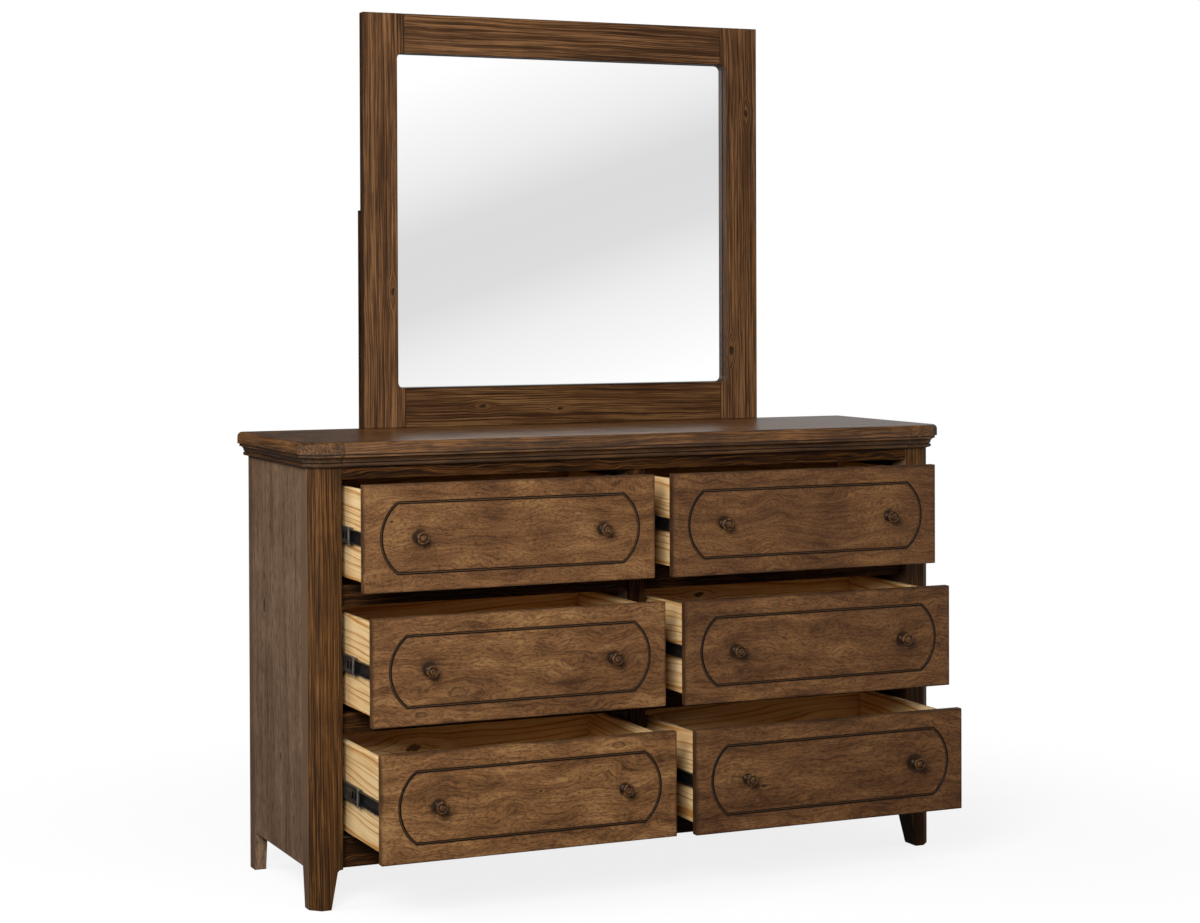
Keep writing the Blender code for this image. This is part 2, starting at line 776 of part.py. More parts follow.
def make_drawers(parent, finishes):
    """All six drawers with their knobs, boxes and the slides' middle members."""
    for (row, column), opening in OPENINGS.items():
        name = f"drawer_{row}_{column}"
        centre = COLUMNS[column] * FRONT_CENTRE
        drawer = pivot(f"{name}_pivot", parent, centre, -opening, front_base(row))
        make_front(name, drawer, finishes["front_wood"])
        make_box(name, column, drawer, finishes["pine"])
        make_knobs(name, drawer, finishes["knob_wood"])
        runner_place = -opening * SLIDE_RATIO_SHARE
        runner = pivot(f"runner_{row}_{column}_pivot", parent, centre, runner_place, slide_height(row))
        for label, (base, direction) in slide_bases(column).items():
            member_name = f"runner_{row}_{column}_{label}"
            make_middle_member(member_name, base - centre, direction, runner, finishes["slide_steel"])


def mirror_stile_outline():
    """Stile seen from the front, from its outer edge, notched where the glass shows."""
    inner = MIRROR_STILE_WIDTH
    notch = inner - MIRROR_NOTCH
    low = MIRROR_RAIL_HEIGHT
    high = MIRROR_HEIGHT - MIRROR_RAIL_HEIGHT
    radius = MIRROR_CORNER_RADIUS
    lower = arc(notch + radius, low + radius, radius, radius, 270, 180)
    upper = arc(notch + radius, high - radius, radius, radius, 180, 90)
    return [(0, 0), (inner, 0), (inner, low)] + lower + upper + [
        (inner, high),
        (inner, MIRROR_HEIGHT),
        (0, MIRROR_HEIGHT),
    ]


def make_mirror_frame(parent, wood):
    """Two stiles and two rails, rebated at the back for the glass."""
    half = MIRROR_WIDTH / 2
    front = TOP_BACK - MIRROR_THICKNESS
    rebate_front = TOP_BACK - GLASS_THICKNESS - 2 * CLEARANCE
    reach = half - MIRROR_STILE_WIDTH + MIRROR_NOTCH + MIRROR_REBATE
    low = MIRROR_RAIL_HEIGHT - MIRROR_REBATE
    high = MIRROR_HEIGHT - low
    pieces = []
    for name, side in COLUMNS.items():
        outline = [(side * (half - inward), height) for inward, height in mirror_stile_outline()]
        pieces.append(prism(f"mirror_stile_{name}", outline, "Y", front, TOP_BACK, parent, wood))
    length = half - MIRROR_STILE_WIDTH - CLEARANCE
    for name, base in (("bottom", 0), ("top", MIRROR_HEIGHT - MIRROR_RAIL_HEIGHT)):
        outline = rectangle(-length, length, base, base + MIRROR_RAIL_HEIGHT)
        pieces.append(prism(f"mirror_rail_{name}", outline, "Y", front, TOP_BACK, parent, wood))
    outline = rectangle(-reach, reach, low, high)
    for piece in pieces:
        rebate = prism(
            f"{piece.name}_rebate", outline, "Y", rebate_front, TOP_BACK + CUT_OVERRUN, parent
        )
        combine(piece, rebate, "DIFFERENCE")


def make_mirror(parent, finishes):
    """Framed mirror with its glass, backing board and two supports behind the case."""
    mirror = pivot("mirror_pivot", parent, MIRROR_SHIFT, 0, TOP_SURFACE + CLEARANCE)
    make_mirror_frame(mirror, finishes["mirror_wood"])
    half = MIRROR_WIDTH / 2
    opening = half - MIRROR_STILE_WIDTH + MIRROR_NOTCH
    reach = opening + MIRROR_REBATE - CLEARANCE
    low = MIRROR_RAIL_HEIGHT - MIRROR_REBATE + CLEARANCE
    outline = rectangle(-reach, reach, low, MIRROR_HEIGHT - low)
    glass_back = TOP_BACK - CLEARANCE
    prism(
        "mirror_glass", outline, "Y", glass_back - GLASS_THICKNESS, glass_back, mirror,
        finishes["mirror_silver"],
    )
    reach = opening + BACKING_MARGIN
    low = MIRROR_RAIL_HEIGHT - BACKING_MARGIN
    outline = rectangle(-reach, reach, low, MIRROR_HEIGHT - low)
    behind = TOP_BACK + CLEARANCE
    prism(
        "mirror_backing", outline, "Y", behind, behind + BACKING_THICKNESS, mirror,
        finishes["inner_board"],
    )
    for name, side in COLUMNS.items():
        low, high = sorted((side * half, side * (half - SUPPORT_WIDTH)))
        outline = rectangle(low, high, -SUPPORT_DROP, SUPPORT_RISE)
        prism(
            f"mirror_support_{name}", outline, "Y", behind, behind + SUPPORT_THICKNESS, mirror,
            finishes["mirror_wood"],
        )


def make_finishes():
    """All materials of the dresser by name."""
    made = (
        case_wood(),
        top_wood(),
        front_wood(),
        knob_wood(),
        mirror_wood(),
        pine(),
        inner_board(),
        slide_steel(),
        mirror_silver(),
    )
    return {finish_material.name: finish_material for finish_material in made}


def main():
    """Model the whole dresser."""
    clear_scene()
    finishes = make_finishes()
    dresser = pivot("dresser_origin", None, 0, -ORIGIN_DEPTH, 0)
    make_posts(dresser, finishes["case_wood"])
    make_side_panels(dresser, finishes["case_wood"])
    make_front_frame(dresser, finishes["case_wood"])
    make_back_and_bottom(dresser, finishes["inner_board"])
    make_partition(dresser, finishes["inner_board"])
    make_top(dresser, finishes["top_wood"])
    make_drawers(dresser, finishes)
    make_mirror(dresser, finishes)


main()
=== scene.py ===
"""Looks of a six drawer dresser with a framed mirror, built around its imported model."""

from __future__ import annotations

import logging
import math
import random
from collections.abc import Callable, Iterator
from contextlib import contextmanager
from dataclasses import dataclass, replace
from enum import Enum

import bmesh
import bpy
from mathutils import Matrix, Vector


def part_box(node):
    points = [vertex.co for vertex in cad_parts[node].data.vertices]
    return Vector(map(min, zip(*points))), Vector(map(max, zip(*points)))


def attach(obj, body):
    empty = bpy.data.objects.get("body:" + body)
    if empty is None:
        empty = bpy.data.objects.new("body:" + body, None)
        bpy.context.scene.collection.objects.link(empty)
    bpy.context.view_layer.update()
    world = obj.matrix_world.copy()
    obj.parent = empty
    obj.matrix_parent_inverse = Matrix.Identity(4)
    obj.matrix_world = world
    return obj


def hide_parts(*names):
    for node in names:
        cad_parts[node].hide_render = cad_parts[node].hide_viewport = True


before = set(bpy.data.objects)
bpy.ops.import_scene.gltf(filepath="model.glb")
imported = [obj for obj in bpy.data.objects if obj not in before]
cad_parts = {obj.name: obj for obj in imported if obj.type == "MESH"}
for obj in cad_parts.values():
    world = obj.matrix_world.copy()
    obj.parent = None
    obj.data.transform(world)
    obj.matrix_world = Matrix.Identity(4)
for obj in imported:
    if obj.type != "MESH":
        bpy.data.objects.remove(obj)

logging.basicConfig(level=logging.INFO, format="%(message)s")
LOG = logging.getLogger("dresser")

MM = 0.001
IMAGE_WIDTH_PX = 1200
IMAGE_HEIGHT_PX = 923
SENSOR_WIDTH_MM = 36
WHITE = "ffffff"
# Node kinds used most: a smooth step between two limits, and a mix of two colours
STEP = "MapRange.SMOOTHSTEP"
BLEND = "Mix.RGBA"
# Property that holds the mode of a node kind, where it isn't called operation
MODE_NAMES = {"MapRange": "interpolation_type", "Mix": "data_type"}
# Number of finer layers in a pattern and their strength
CRISP = (4.0, 0.65)
CLOUDY = (4.0, 0.6)
PATCHY = (3.0, 0.6)
PLAIN = (2.0, 0.5)
SMOOTH = (1.0, 0.5)
FINE = (6.0, 0.5)
# A pattern stays mostly within a quarter of its middle value, so this makes it run from -1 to 1
FULL_SWING = 4
# Blender cuts longer names off
NAME_LIMIT = 60
# An edge or normal lies along an axis above this share, and a place is on a plane within this distance
ALIGNED = 0.9
NEAR = 0.1 * MM
# Edges of a board that is thinner than twice this take no extra stain
THIN = 20 * MM
# Corners closer than this are one, and angles at which a face is flat, is shaded smooth and is rounded
WELD = 0.01 * MM
FLAT = math.radians(0.5)
SMOOTH_ANGLE = math.radians(35)
SHARP_ANGLE = math.radians(40)
ROWS = ("top", "middle", "bottom")
SIDES = ("left", "right")
# Share of the radius and of the projection at each ring of a turned piece
Outline = tuple[tuple[float, float], ...]
# Values between which something changes, and its strength at each of them
Change = tuple[float, float, float, float]


def linear_rgb(hex_colour: str) -> tuple[float, float, float, float]:
    """Turn an sRGB hex colour into linear values.

    Args:
        hex_colour: six hex digits, such as "6b4a2b".

    Returns:
        Linear red, green, blue and an alpha of one.
    """
    channels = [int(hex_colour[index : index + 2], 16) / 255 for index in (0, 2, 4)]
    linear = [c / 12.92 if c <= 0.04045 else ((c + 0.055) / 1.055) ** 2.4 for c in channels]
    return (linear[0], linear[1], linear[2], 1.0)


def metres(sizes_mm: tuple[float, ...]) -> tuple[float, ...]:
    """Turn sizes in millimetres into metres."""
    return tuple(size * MM for size in sizes_mm)


class Grain(Enum):
    """Way the fibres of a board run, as the order in which its axes are read."""

    ALONG_X = ("X", "Y", "Z")
    ALONG_Y = ("Y", "X", "Z")
    ALONG_Z = ("Z", "Y", "X")
    ALONG_Z_IN_SIDE = ("Z", "X", "Y")


class Graph:
    """Node tree with one way to add nodes to it."""

    def __init__(self, tree: bpy.types.NodeTree) -> None:
        """Start from an empty tree.

        Args:
            tree: the node tree of a material or of the world.
        """
        self.tree = tree
        tree.nodes.clear()

    def add(self, kind: str, *values: object, out: str = "", stops: tuple = ()) -> bpy.types.NodeSocket:
        """Add a node with its settings and links.

        Args:
            kind: the node's type without its ShaderNode prefix, and its mode after a dot.
            values: value, hex colour or feeding socket of each input in turn, or a dict of them by name.
            out: name of the output that is handed back, if it isn't the first.
            stops: position and hex colour of each stop of a colour ramp.

        Returns:
            The chosen output socket, or the node itself if it has none.
        """
        name, _, mode = kind.partition(".")
        made = self.tree.nodes.new("ShaderNode" + name)
        if mode:
            setattr(made, MODE_NAMES.get(name, "operation"), mode)
        if values and isinstance(values[0], dict):
            pairs = [(made.inputs[socket], value) for socket, value in values[0].items()]
        else:
            pairs = zip((socket for socket in made.inputs if socket.enabled), values)
        for socket, value in pairs:
            if isinstance(value, bpy.types.NodeSocket):
                self.tree.links.new(value, socket)
            else:
                socket.default_value = linear_rgb(value) if isinstance(value, str) else value
        if stops:
            elements = made.color_ramp.elements
            while len(elements) < len(stops):
                elements.new(1.0)
            for element, (position, colour) in zip(elements, stops):
                element.position = position
                element.color = linear_rgb(colour)
        if out:
            return made.outputs[out]
        return next((socket for socket in made.outputs if socket.enabled), made)

    def length(self, *parts: object) -> bpy.types.NodeSocket:
        """Length of a line from its parts along two or three axes."""
        return self.add("VectorMath.LENGTH", self.add("CombineXYZ", *parts))

    def marks(
        self, vector: object, sizes_mm: tuple[float, float, float], detail: float, sharp: float
    ) -> bpy.types.NodeSocket:
        """Uneven value whose marks have a real size along each axis.

        Args:
            vector: coordinates in metres.
            sizes_mm: size of a mark along each axis.
            detail: how many finer layers it has.
            sharp: strength of the finer layers.

        Returns:
            The value's socket.
        """
        rates = tuple(1 / size for size in metres(sizes_mm))
        scaled = self.add("VectorMath.MULTIPLY", vector, rates)
        return self.add("TexNoise", {"Vector": scaled, "Scale": 1.0, "Detail": detail, "Roughness": sharp})


def new_material(name: str) -> tuple[bpy.types.Material, Graph]:
    """Make a material with an empty node tree.

    Args:
        name: name of the material.

    Returns:
        The material and its graph.
    """
    material = bpy.data.materials.new(name)
    material.use_nodes = True
    return material, Graph(material.node_tree)


def corners(node: str) -> tuple[Vector, Vector]:
    """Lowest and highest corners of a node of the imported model."""
    low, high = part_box(node)
    return Vector(low), Vector(high)


@dataclass(frozen=True)
class Knot:
    """Knot in a board: where it is along and across the grain, and its radius, in metres.

    A tight knot is grown in, so only its outline is dark.
    """

    along: float
    across: float
    radius: float
    tight: bool = False

    def radii(self, shares: tuple[float, float]) -> tuple[float, ...]:
        """Distances from the knot's middle at two shares of its radius."""
        return tuple(self.radius * share for share in shares)


@dataclass(frozen=True)
class Board:
    """Place of one board: its corners, the way its fibres run and its knots."""

    label: str
    low: Vector
    high: Vector
    grain: Grain
    knots: tuple[Knot, ...] = ()

    @classmethod
    def of_node(cls, node: str, grain: Grain, knots: tuple[Knot, ...] = ()) -> Board:
        """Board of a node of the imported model, with its grain and the knots that show in it."""
        return cls(node, *corners(node), grain, knots)

    @property
    def centre(self) -> Vector:
        """Middle of the board."""
        return (self.low + self.high) / 2

    @property
    def half(self) -> Vector:
        """Half of the board's size."""
        return (self.high - self.low) / 2


@dataclass(frozen=True)
class Surface:
    """What a stain works on: the board, its local x, y and z, and its mottle, in a graph."""

    graph: Graph
    board: Board
    x: bpy.types.NodeSocket
    y: bpy.types.NodeSocket
    z: bpy.types.NodeSocket
    mottle: bpy.types.NodeSocket


@dataclass(frozen=True)
class SheetSteel:
    """Cold rolled sheet steel with a plating: fine roll lines and a slightly uneven sheen."""

    name: str
    colour: str
    worn: str
    metallic: float
    roughness: float
    # Roll lines are finer than a render shows, so they are drawn 1.5 mm wide
    roll_mm: tuple[float, float, float] = (1.5, 60, 1.5)
    cloud_mm: tuple[float, float, float] = (9, 14, 9)
    cloud_wear: Change = (0.40, 0.72, 0.0, 0.7)
    line_wear: float = 0.8
    line_roughness: float = 0.2
    bump: float = 0.2
    bump_mm: float = 0.05

    def shader(self, graph: Graph) -> bpy.types.NodeSocket:
        """Add the steel's nodes.

        Args:
            graph: graph that gets the nodes.

        Returns:
            The shader's socket.
        """
        add = graph.add
        place = add("TexCoord", out="Object")
        lines = graph.marks(place, self.roll_mm, *PLAIN)
        cloud = graph.marks(place, self.cloud_mm, *PATCHY)
        worn = add(STEP, cloud, *self.cloud_wear)
        worn = add("Math.MULTIPLY_ADD", add("Math.SUBTRACT", lines, 0.5), self.line_wear, worn)
        rough = self.roughness - self.line_roughness / 2
        inputs = {
            "Base Color": add(BLEND, worn, self.colour, self.worn),
            "Metallic": self.metallic,
            "Roughness": add("Math.MULTIPLY_ADD", lines, self.line_roughness, rough),
            "Normal": add("Bump", {"Strength": self.bump, "Distance": self.bump_mm * MM, "Height": lines}),
        }
        return add("BsdfPrincipled", inputs)

    def build(self) -> bpy.types.Material:
        """Make the material, which all pieces of this steel share.

        Returns:
            The material.
        """
        material, graph = new_material(self.name)
        graph.add("OutputMaterial", self.shader(graph))
        return material


# Black zinc plating: nearly black, with a dull sheen
BLACK_ZINC = SheetSteel("black_zinc_steel", "121214", "34322f", 0.35, 0.42)
# Middle members, whose plating is scuffed by the balls, so more steel grey shows
SCUFFED_ZINC = SheetSteel("scuffed_zinc_steel", "22211f", "57534c", 0.35, 0.42)
# The same plating rubbed thin where a slide's end is stamped and handled, so steel grey shows
RUBBED_ZINC = SheetSteel("rubbed_zinc_steel", "6b6962", "a09d94", 0.40, 0.38)
# Yellowish zinc of small wood screws and nails
SCREW_ZINC = SheetSteel("zinc_screw_steel", "8d8879", "b5b0a0", 0.95, 0.34)


@dataclass(frozen=True)
class KnotForm:
    """How a knot looks: sizes as shares of its radius, strengths of its parts."""

    squash: float = 0.5
    wavy: float = 2.0
    ragged: float = 2.4
    ragged_mm: tuple[float, float, float] = (16, 12, 12)
    reach: float = 6.0
    push: float = 2.5
    core_shares: tuple[float, float] = (0.7, 1.4)
    core: float = 0.85
    grown_shares: tuple[float, float] = (0.5, 1.0)
    grown: float = 0.6
    halo_shares: tuple[float, float] = (1.0, 2.6)
    halo: float = 0.25


@dataclass(frozen=True)
class RingForm:
    """How growth rings look: their lean and unevenness, and where in a ring its dark line lies."""

    lean: float = 0.8
    patch_mm: float = 38.0
    uneven_mm: float = 34.0
    start: float = 0.66
    peak: float = 0.90
    end: float = 0.98


@dataclass(frozen=True)
class WoodFinish:
    """Sawn wood with a stain or a clear lacquer, as the colours of its parts and their sizes."""

    name: str
    dark: str
    mid: str
    light: str
    pore: str
    knot: str = "1b0e05"
    line_mm: float = 5.0
    line_long_mm: float = 260.0
    line_strength: float = 0.3
    line_edge: float = 0.16
    band_mm: float = 24.0
    band_long_mm: float = 500.0
    band_strength: float = 0.4
    ring_mm: float = 12.0
    ring_strength: float = 0.0
    bend_mm: float = 12.0
    wave_long_mm: float = 420.0
    wave_wide_mm: float = 90.0
    wave_deep: float = 1.5
    taper: float = 0.01
    pore_mm: float = 2.0
    pore_long_mm: float = 12.0
    pore_strength: float = 0.5
    pore_low: float = 0.50
    pore_high: float = 0.58
    mottle_mm: float = 70.0
    mottle_long: float = 1.6
    mottle_strength: float = 0.3
    edge_mm: float = 4.0
    edge_reach: float = 2.0
    edge_uneven: float = 5.0
    edge_strength: float = 0.0
    shade_below: float | None = None
    hollow_shade_strength: float = 0.45
    shaded_crevices: tuple[float, ...] = ()
    crevice_shade_mm: tuple[float, float] = (0.8, 2.0)
    crevice_shade_strength: float = 0.9
    polish: float = 0.0
    # Distance over which the painted shade of the hollows and the top's polish set in
    fade_mm: float = 2.0
    stops: tuple[float, float, float] = (0.20, 0.5, 0.80)
    roughness: float = 0.45
    pore_roughness: float = 0.12
    mottle_roughness: float = 0.10
    specular: float = 0.3
    line_relief: float = 0.5
    bump: float = 0.4
    bump_mm: float = 0.15
    # Patterns start up to this many metres apart, so no two boards are alike
    spread: float = 9.0
    knot_form: KnotForm = KnotForm()
    ring_form: RingForm = RingForm()

    def build(self, board: Board, steel: tuple[float, float] | None = None) -> bpy.types.Material:
        """Make the finish for one board.

        Args:
            board: the board it is for.
            steel: distances from the middle plane between which the node is a steel slide.

        Returns:
            The material.
        """
        material, graph = new_material(f"{self.name}_{board.label}"[:NAME_LIMIT])
        add = graph.add
        shader = self.shader(graph, board)
        if steel:
            place = add("TexCoord", out="Object")
            outward = add("Math.ABSOLUTE", add("SeparateXYZ", place, out="X"))
            near = add("Math.GREATER_THAN", outward, steel[0])
            far = add("Math.LESS_THAN", outward, steel[1])
            part = add("Math.MULTIPLY", near, far)
            shader = add("MixShader", part, shader, BLACK_ZINC.shader(graph))
        add("OutputMaterial", shader)
        return material

    def shader(self, graph: Graph, board: Board) -> bpy.types.NodeSocket:
        """Add the wood's nodes for one board.

        Args:
            graph: graph that gets the nodes.
            board: the board.

        Returns:
            The shader's socket.
        """
        add = graph.add
        draw = random.Random(board.label)
        place = add("TexCoord", out="Object")
        x, y, z = add("SeparateXYZ", add("VectorMath.SUBTRACT", place, board.centre)).node.outputs
        axes = {"X": x, "Y": y, "Z": z}
        along, depth, across = (axes[name] for name in board.grain.value)
        shift = Vector(draw.uniform(-self.spread, self.spread) for _ in range(3))
        plain = add("VectorMath.ADD", add("CombineXYZ", along, depth, across), shift)
        flow, knot_dark, knot_glow = self.flow(graph, draw, board, plain, (along, depth, across))
        bent = add("VectorMath.ADD", add("CombineXYZ", along, depth, flow), shift)
        lines = graph.marks(bent, (self.line_long_mm, self.line_mm, self.line_mm), *CRISP)
        lines = add(STEP, lines, 0.5 - self.line_edge, 0.5 + self.line_edge)
        bands = graph.marks(bent, (self.band_long_mm, self.band_mm, self.band_mm), *PLAIN)
        mottle = graph.marks(
            plain, (self.mottle_mm * self.mottle_long, self.mottle_mm, self.mottle_mm), *CLOUDY
        )
        fine = graph.marks(bent, (self.pore_long_mm, self.pore_mm, self.pore_mm), *PLAIN)
        value: object = 0.5
        layers = ((lines, self.line_strength), (bands, self.band_strength), (mottle, self.mottle_strength))
        for layer, strength in layers:
            value = add("Math.MULTIPLY_ADD", add("Math.SUBTRACT", layer, 0.5), strength * 2, value)
        if self.ring_strength:
            value = add("Math.MULTIPLY_ADD", self.rings(graph, flow, depth), self.ring_strength, value)
        colour = add("ValToRGB", value, stops=tuple(zip(self.stops, (self.dark, self.mid, self.light))))
        pores = add(STEP, fine, self.pore_low, self.pore_high, 0.0, self.pore_strength)
        for mask, over in ((pores, self.pore), (knot_glow, self.light), (knot_dark, self.knot)):
            colour = add(BLEND, mask, colour, over)
        colour = self.stain(Surface(graph, board, x, y, z, mottle), colour)
        rough = self.roughness - self.pore_roughness / 2
        rough = add("Math.MULTIPLY_ADD", fine, self.pore_roughness, rough)
        rough = add("Math.MULTIPLY_ADD", mottle, self.mottle_roughness, rough)
        if self.polish:
            flat = add(STEP, z, board.half.z - self.fade_mm * MM, board.half.z, 0.0, -self.polish)
            rough = add("Math.ADD", rough, flat)
        relief = add("Math.MULTIPLY_ADD", lines, self.line_relief, add("Math.SUBTRACT", 1.0, fine))
        bump = add("Bump", {"Strength": self.bump, "Distance": self.bump_mm * MM, "Height": relief})
        inputs = {
            "Base Color": colour,
            "Roughness": rough,
            "Normal": bump,
            "IOR": 1.5,
            "Specular IOR Level": self.specular,
        }
        return add("BsdfPrincipled", inputs)

    def flow(
        self, graph: Graph, draw: random.Random, board: Board, plain: object, axes: tuple
    ) -> tuple[bpy.types.NodeSocket, object, object]:
        """Position across the fibres, which bend in slow waves and round the knots.

        Args:
            graph: graph that gets the nodes.
            draw: random source of the board.
            board: the board.
            plain: board coordinates with the board's own shift.
            axes: sockets along, through and across the board.

        Returns:
            The bent position, the darkness of the knots and the light wood round them.
        """
        add, form = graph.add, self.knot_form
        along, _, across = axes
        sizes = (self.wave_long_mm, self.wave_wide_mm * self.wave_deep, self.wave_wide_mm)
        waves = add("Math.SUBTRACT", graph.marks(plain, sizes, *PLAIN), 0.5)
        flow = add("Math.MULTIPLY_ADD", waves, self.bend_mm * FULL_SWING * MM, across)
        flow = add("Math.MULTIPLY_ADD", along, draw.choice((-1, 1)) * self.taper, flow)
        dark: object = 0.0
        glow: object = 0.0
        ragged: object = 0.0
        if board.knots:
            ragged = add("Math.SUBTRACT", graph.marks(plain, form.ragged_mm, *PATCHY), 0.5)
        for knot in board.knots:
            size = knot.radius
            over = add("Math.SUBTRACT", along, knot.along)
            side = add("Math.SUBTRACT", across, knot.across)
            distance = graph.length(add("Math.MULTIPLY", over, form.squash), side)
            distance = add("Math.MULTIPLY_ADD", waves, size * form.wavy, distance)
            distance = add("Math.MULTIPLY_ADD", ragged, size * form.ragged, distance)
            near = add(STEP, distance, 0, size * form.reach, 1.0, 0.0)
            push = add("Math.MULTIPLY", near, add("Math.SIGN", side))
            push = add("Math.MULTIPLY", push, size * form.push)
            flow = add("Math.SUBTRACT", flow, push)
            core = add(STEP, distance, *knot.radii(form.core_shares), form.core, 0.0)
            if knot.tight:
                grown = add(STEP, distance, *knot.radii(form.grown_shares), form.grown, 0.0)
                core = add("Math.SUBTRACT", core, grown)
            dark = add("Math.MAXIMUM", dark, core)
            halo = add(STEP, distance, *knot.radii(form.halo_shares), form.halo, 0.0)
            glow = add("Math.MAXIMUM", glow, halo)
        return flow, dark, glow

    def rings(self, graph: Graph, flow: object, depth: object) -> bpy.types.NodeSocket:
        """Growth rings: pale early wood that ends in a narrow dark late wood line.

        Args:
            graph: graph that gets the nodes.
            flow: bent position across the fibres.
            depth: distance through the board.

        Returns:
            The rings' value, from minus one at the line to zero.
        """
        add, form = graph.add, self.ring_form
        leaned = add("Math.MULTIPLY_ADD", depth, form.lean, flow)
        uneven = graph.marks(add("CombineXYZ", leaned), (form.patch_mm,) * 3, *SMOOTH)
        uneven = add("Math.SUBTRACT", uneven, 0.5)
        leaned = add("Math.MULTIPLY_ADD", uneven, form.uneven_mm * MM, leaned)
        phase = add("Math.FRACT", add("Math.DIVIDE", leaned, self.ring_mm * MM))
        rise = add(STEP, phase, form.start, form.peak)
        fall = add(STEP, phase, form.peak, form.end, 1.0, 0.0)
        return add("Math.MULTIPLY", add("Math.MULTIPLY", rise, fall), -1.0)

    def stain(self, on: Surface, colour: object) -> bpy.types.NodeSocket:
        """Painted shade below a board's top and in its creases, where it has them, and darker stain that
        gathers along its edges.

        Args:
            on: the surface that is stained.
            colour: its colour so far.

        Returns:
            The stained colour's socket.
        """
        add = on.graph.add
        # Painted shade: all below a height and thin lines at the creases are darkened
        if self.shade_below is not None:
            deep = self.shade_below - self.fade_mm * MM
            hollow = add(STEP, on.z, deep, self.shade_below, self.hollow_shade_strength, 0.0)
            for height in self.shaded_crevices:
                off = add("Math.ABSOLUTE", add("Math.SUBTRACT", on.z, height))
                line = add(STEP, off, *metres(self.crevice_shade_mm), self.crevice_shade_strength, 0.0)
                hollow = add("Math.MAXIMUM", hollow, line)
            colour = add(BLEND, hollow, colour, self.pore)
        if not self.edge_strength:
            return colour
        nearest: object = 1.0
        for half, place in zip(on.board.half, (on.x, on.y, on.z)):
            if half > THIN:
                inward = add("Math.SUBTRACT", half, add("Math.ABSOLUTE", place))
                nearest = add("Math.MINIMUM", nearest, inward)
        wide = self.edge_mm * MM
        uneven = add("Math.SUBTRACT", on.mottle, 0.5)
        broken = add("Math.MULTIPLY_ADD", uneven, wide * self.edge_uneven, nearest)
        mask = add(STEP, broken, 0, wide * self.edge_reach, self.edge_strength, 0.0)
        return add(BLEND, mask, colour, self.pore)


@dataclass(frozen=True)
class FrontFinish(WoodFinish):
    """Wood of a drawer front, with stain and painted shade in the routed groove, a painted highlight on the
    groove's floor, and stain and painted shadow round the knobs.
    """

    groove_stain_and_shade: str = "0c0603"
    groove_floor_highlight: str = "6e4f30"
    groove_mm: float = 3.3
    groove_inner: float = 0.85
    groove_highlight_mm: tuple[float, float] = (0.5, 1.1)
    groove_highlight_strength: float = 0.5
    halo_mm: float = 5.0
    halo: float = 0.25
    arc_start: float = 0.2473
    arc_centre: float = 0.1933
    arc_radius: float = 0.0890
    line_height: float = 0.07075
    knob_reach: float = 0.2015
    knob_uneven: float = 0.03
    knob_halo_mm: tuple[float, float] = (6.0, 32.0)
    knob_halo: float = 0.42
    knob_ring_mm: tuple[float, float] = (12.0, 20.0)
    knob_ring: float = 0.9

    def stain(self, on: Surface, colour: object) -> bpy.types.NodeSocket:
        """Add the groove's stain and painted shade with the painted highlight on its floor, and the dark
        rings of stain and painted shadow round the knobs.

        Args:
            on: the surface that is stained.
            colour: its colour so far.

        Returns:
            The stained colour's socket.
        """
        add = on.graph.add
        colour = super().stain(on, colour)
        over = add("Math.ABSOLUTE", on.x)
        from_line = add("Math.SUBTRACT", add("Math.ABSOLUTE", on.z), self.line_height)
        reach = on.graph.length(add("Math.SUBTRACT", over, self.arc_centre), on.z)
        from_arc = add("Math.SUBTRACT", reach, self.arc_radius)
        on_line = add("Math.LESS_THAN", over, self.arc_start)
        on_arc = add("Math.SUBTRACT", 1.0, on_line)
        from_line = add("Math.MULTIPLY", add("Math.ABSOLUTE", from_line), on_line)
        from_arc = add("Math.MULTIPLY", add("Math.ABSOLUTE", from_arc), on_arc)
        distance = add("Math.ADD", from_line, from_arc)
        at_front = add("Math.LESS_THAN", on.y, 0.0)
        # Round each knob: a wide halo and a tight dark ring, each stain and painted shadow of the knob
        knob = on.graph.length(add("Math.SUBTRACT", over, self.knob_reach), on.z)
        knob = add("Math.MULTIPLY_ADD", add("Math.SUBTRACT", on.mottle, 0.5), self.knob_uneven, knob)
        halo = add(STEP, knob, *metres(self.knob_halo_mm), self.knob_halo, 0.0)
        ring = add(STEP, knob, *metres(self.knob_ring_mm), self.knob_ring, 0.0)
        halo = add("Math.MAXIMUM", halo, ring)
        # The groove: near black stain and painted shade, and a paler painted highlight along its floor
        edge = self.groove_mm * MM
        soft = add(STEP, distance, edge, self.halo_mm * MM, self.halo, 0.0)
        halo = add("Math.MAXIMUM", halo, soft)
        deep = add(STEP, distance, edge * self.groove_inner, edge, 1.0, 0.0)
        floor = add(STEP, distance, *metres(self.groove_highlight_mm), self.groove_highlight_strength, 0.0)
        for mask, over in ((halo, self.pore), (deep, self.groove_stain_and_shade), (floor, self.groove_floor_highlight)):
            colour = add(BLEND, add("Math.MULTIPLY", mask, at_front), colour, over)
        return colour


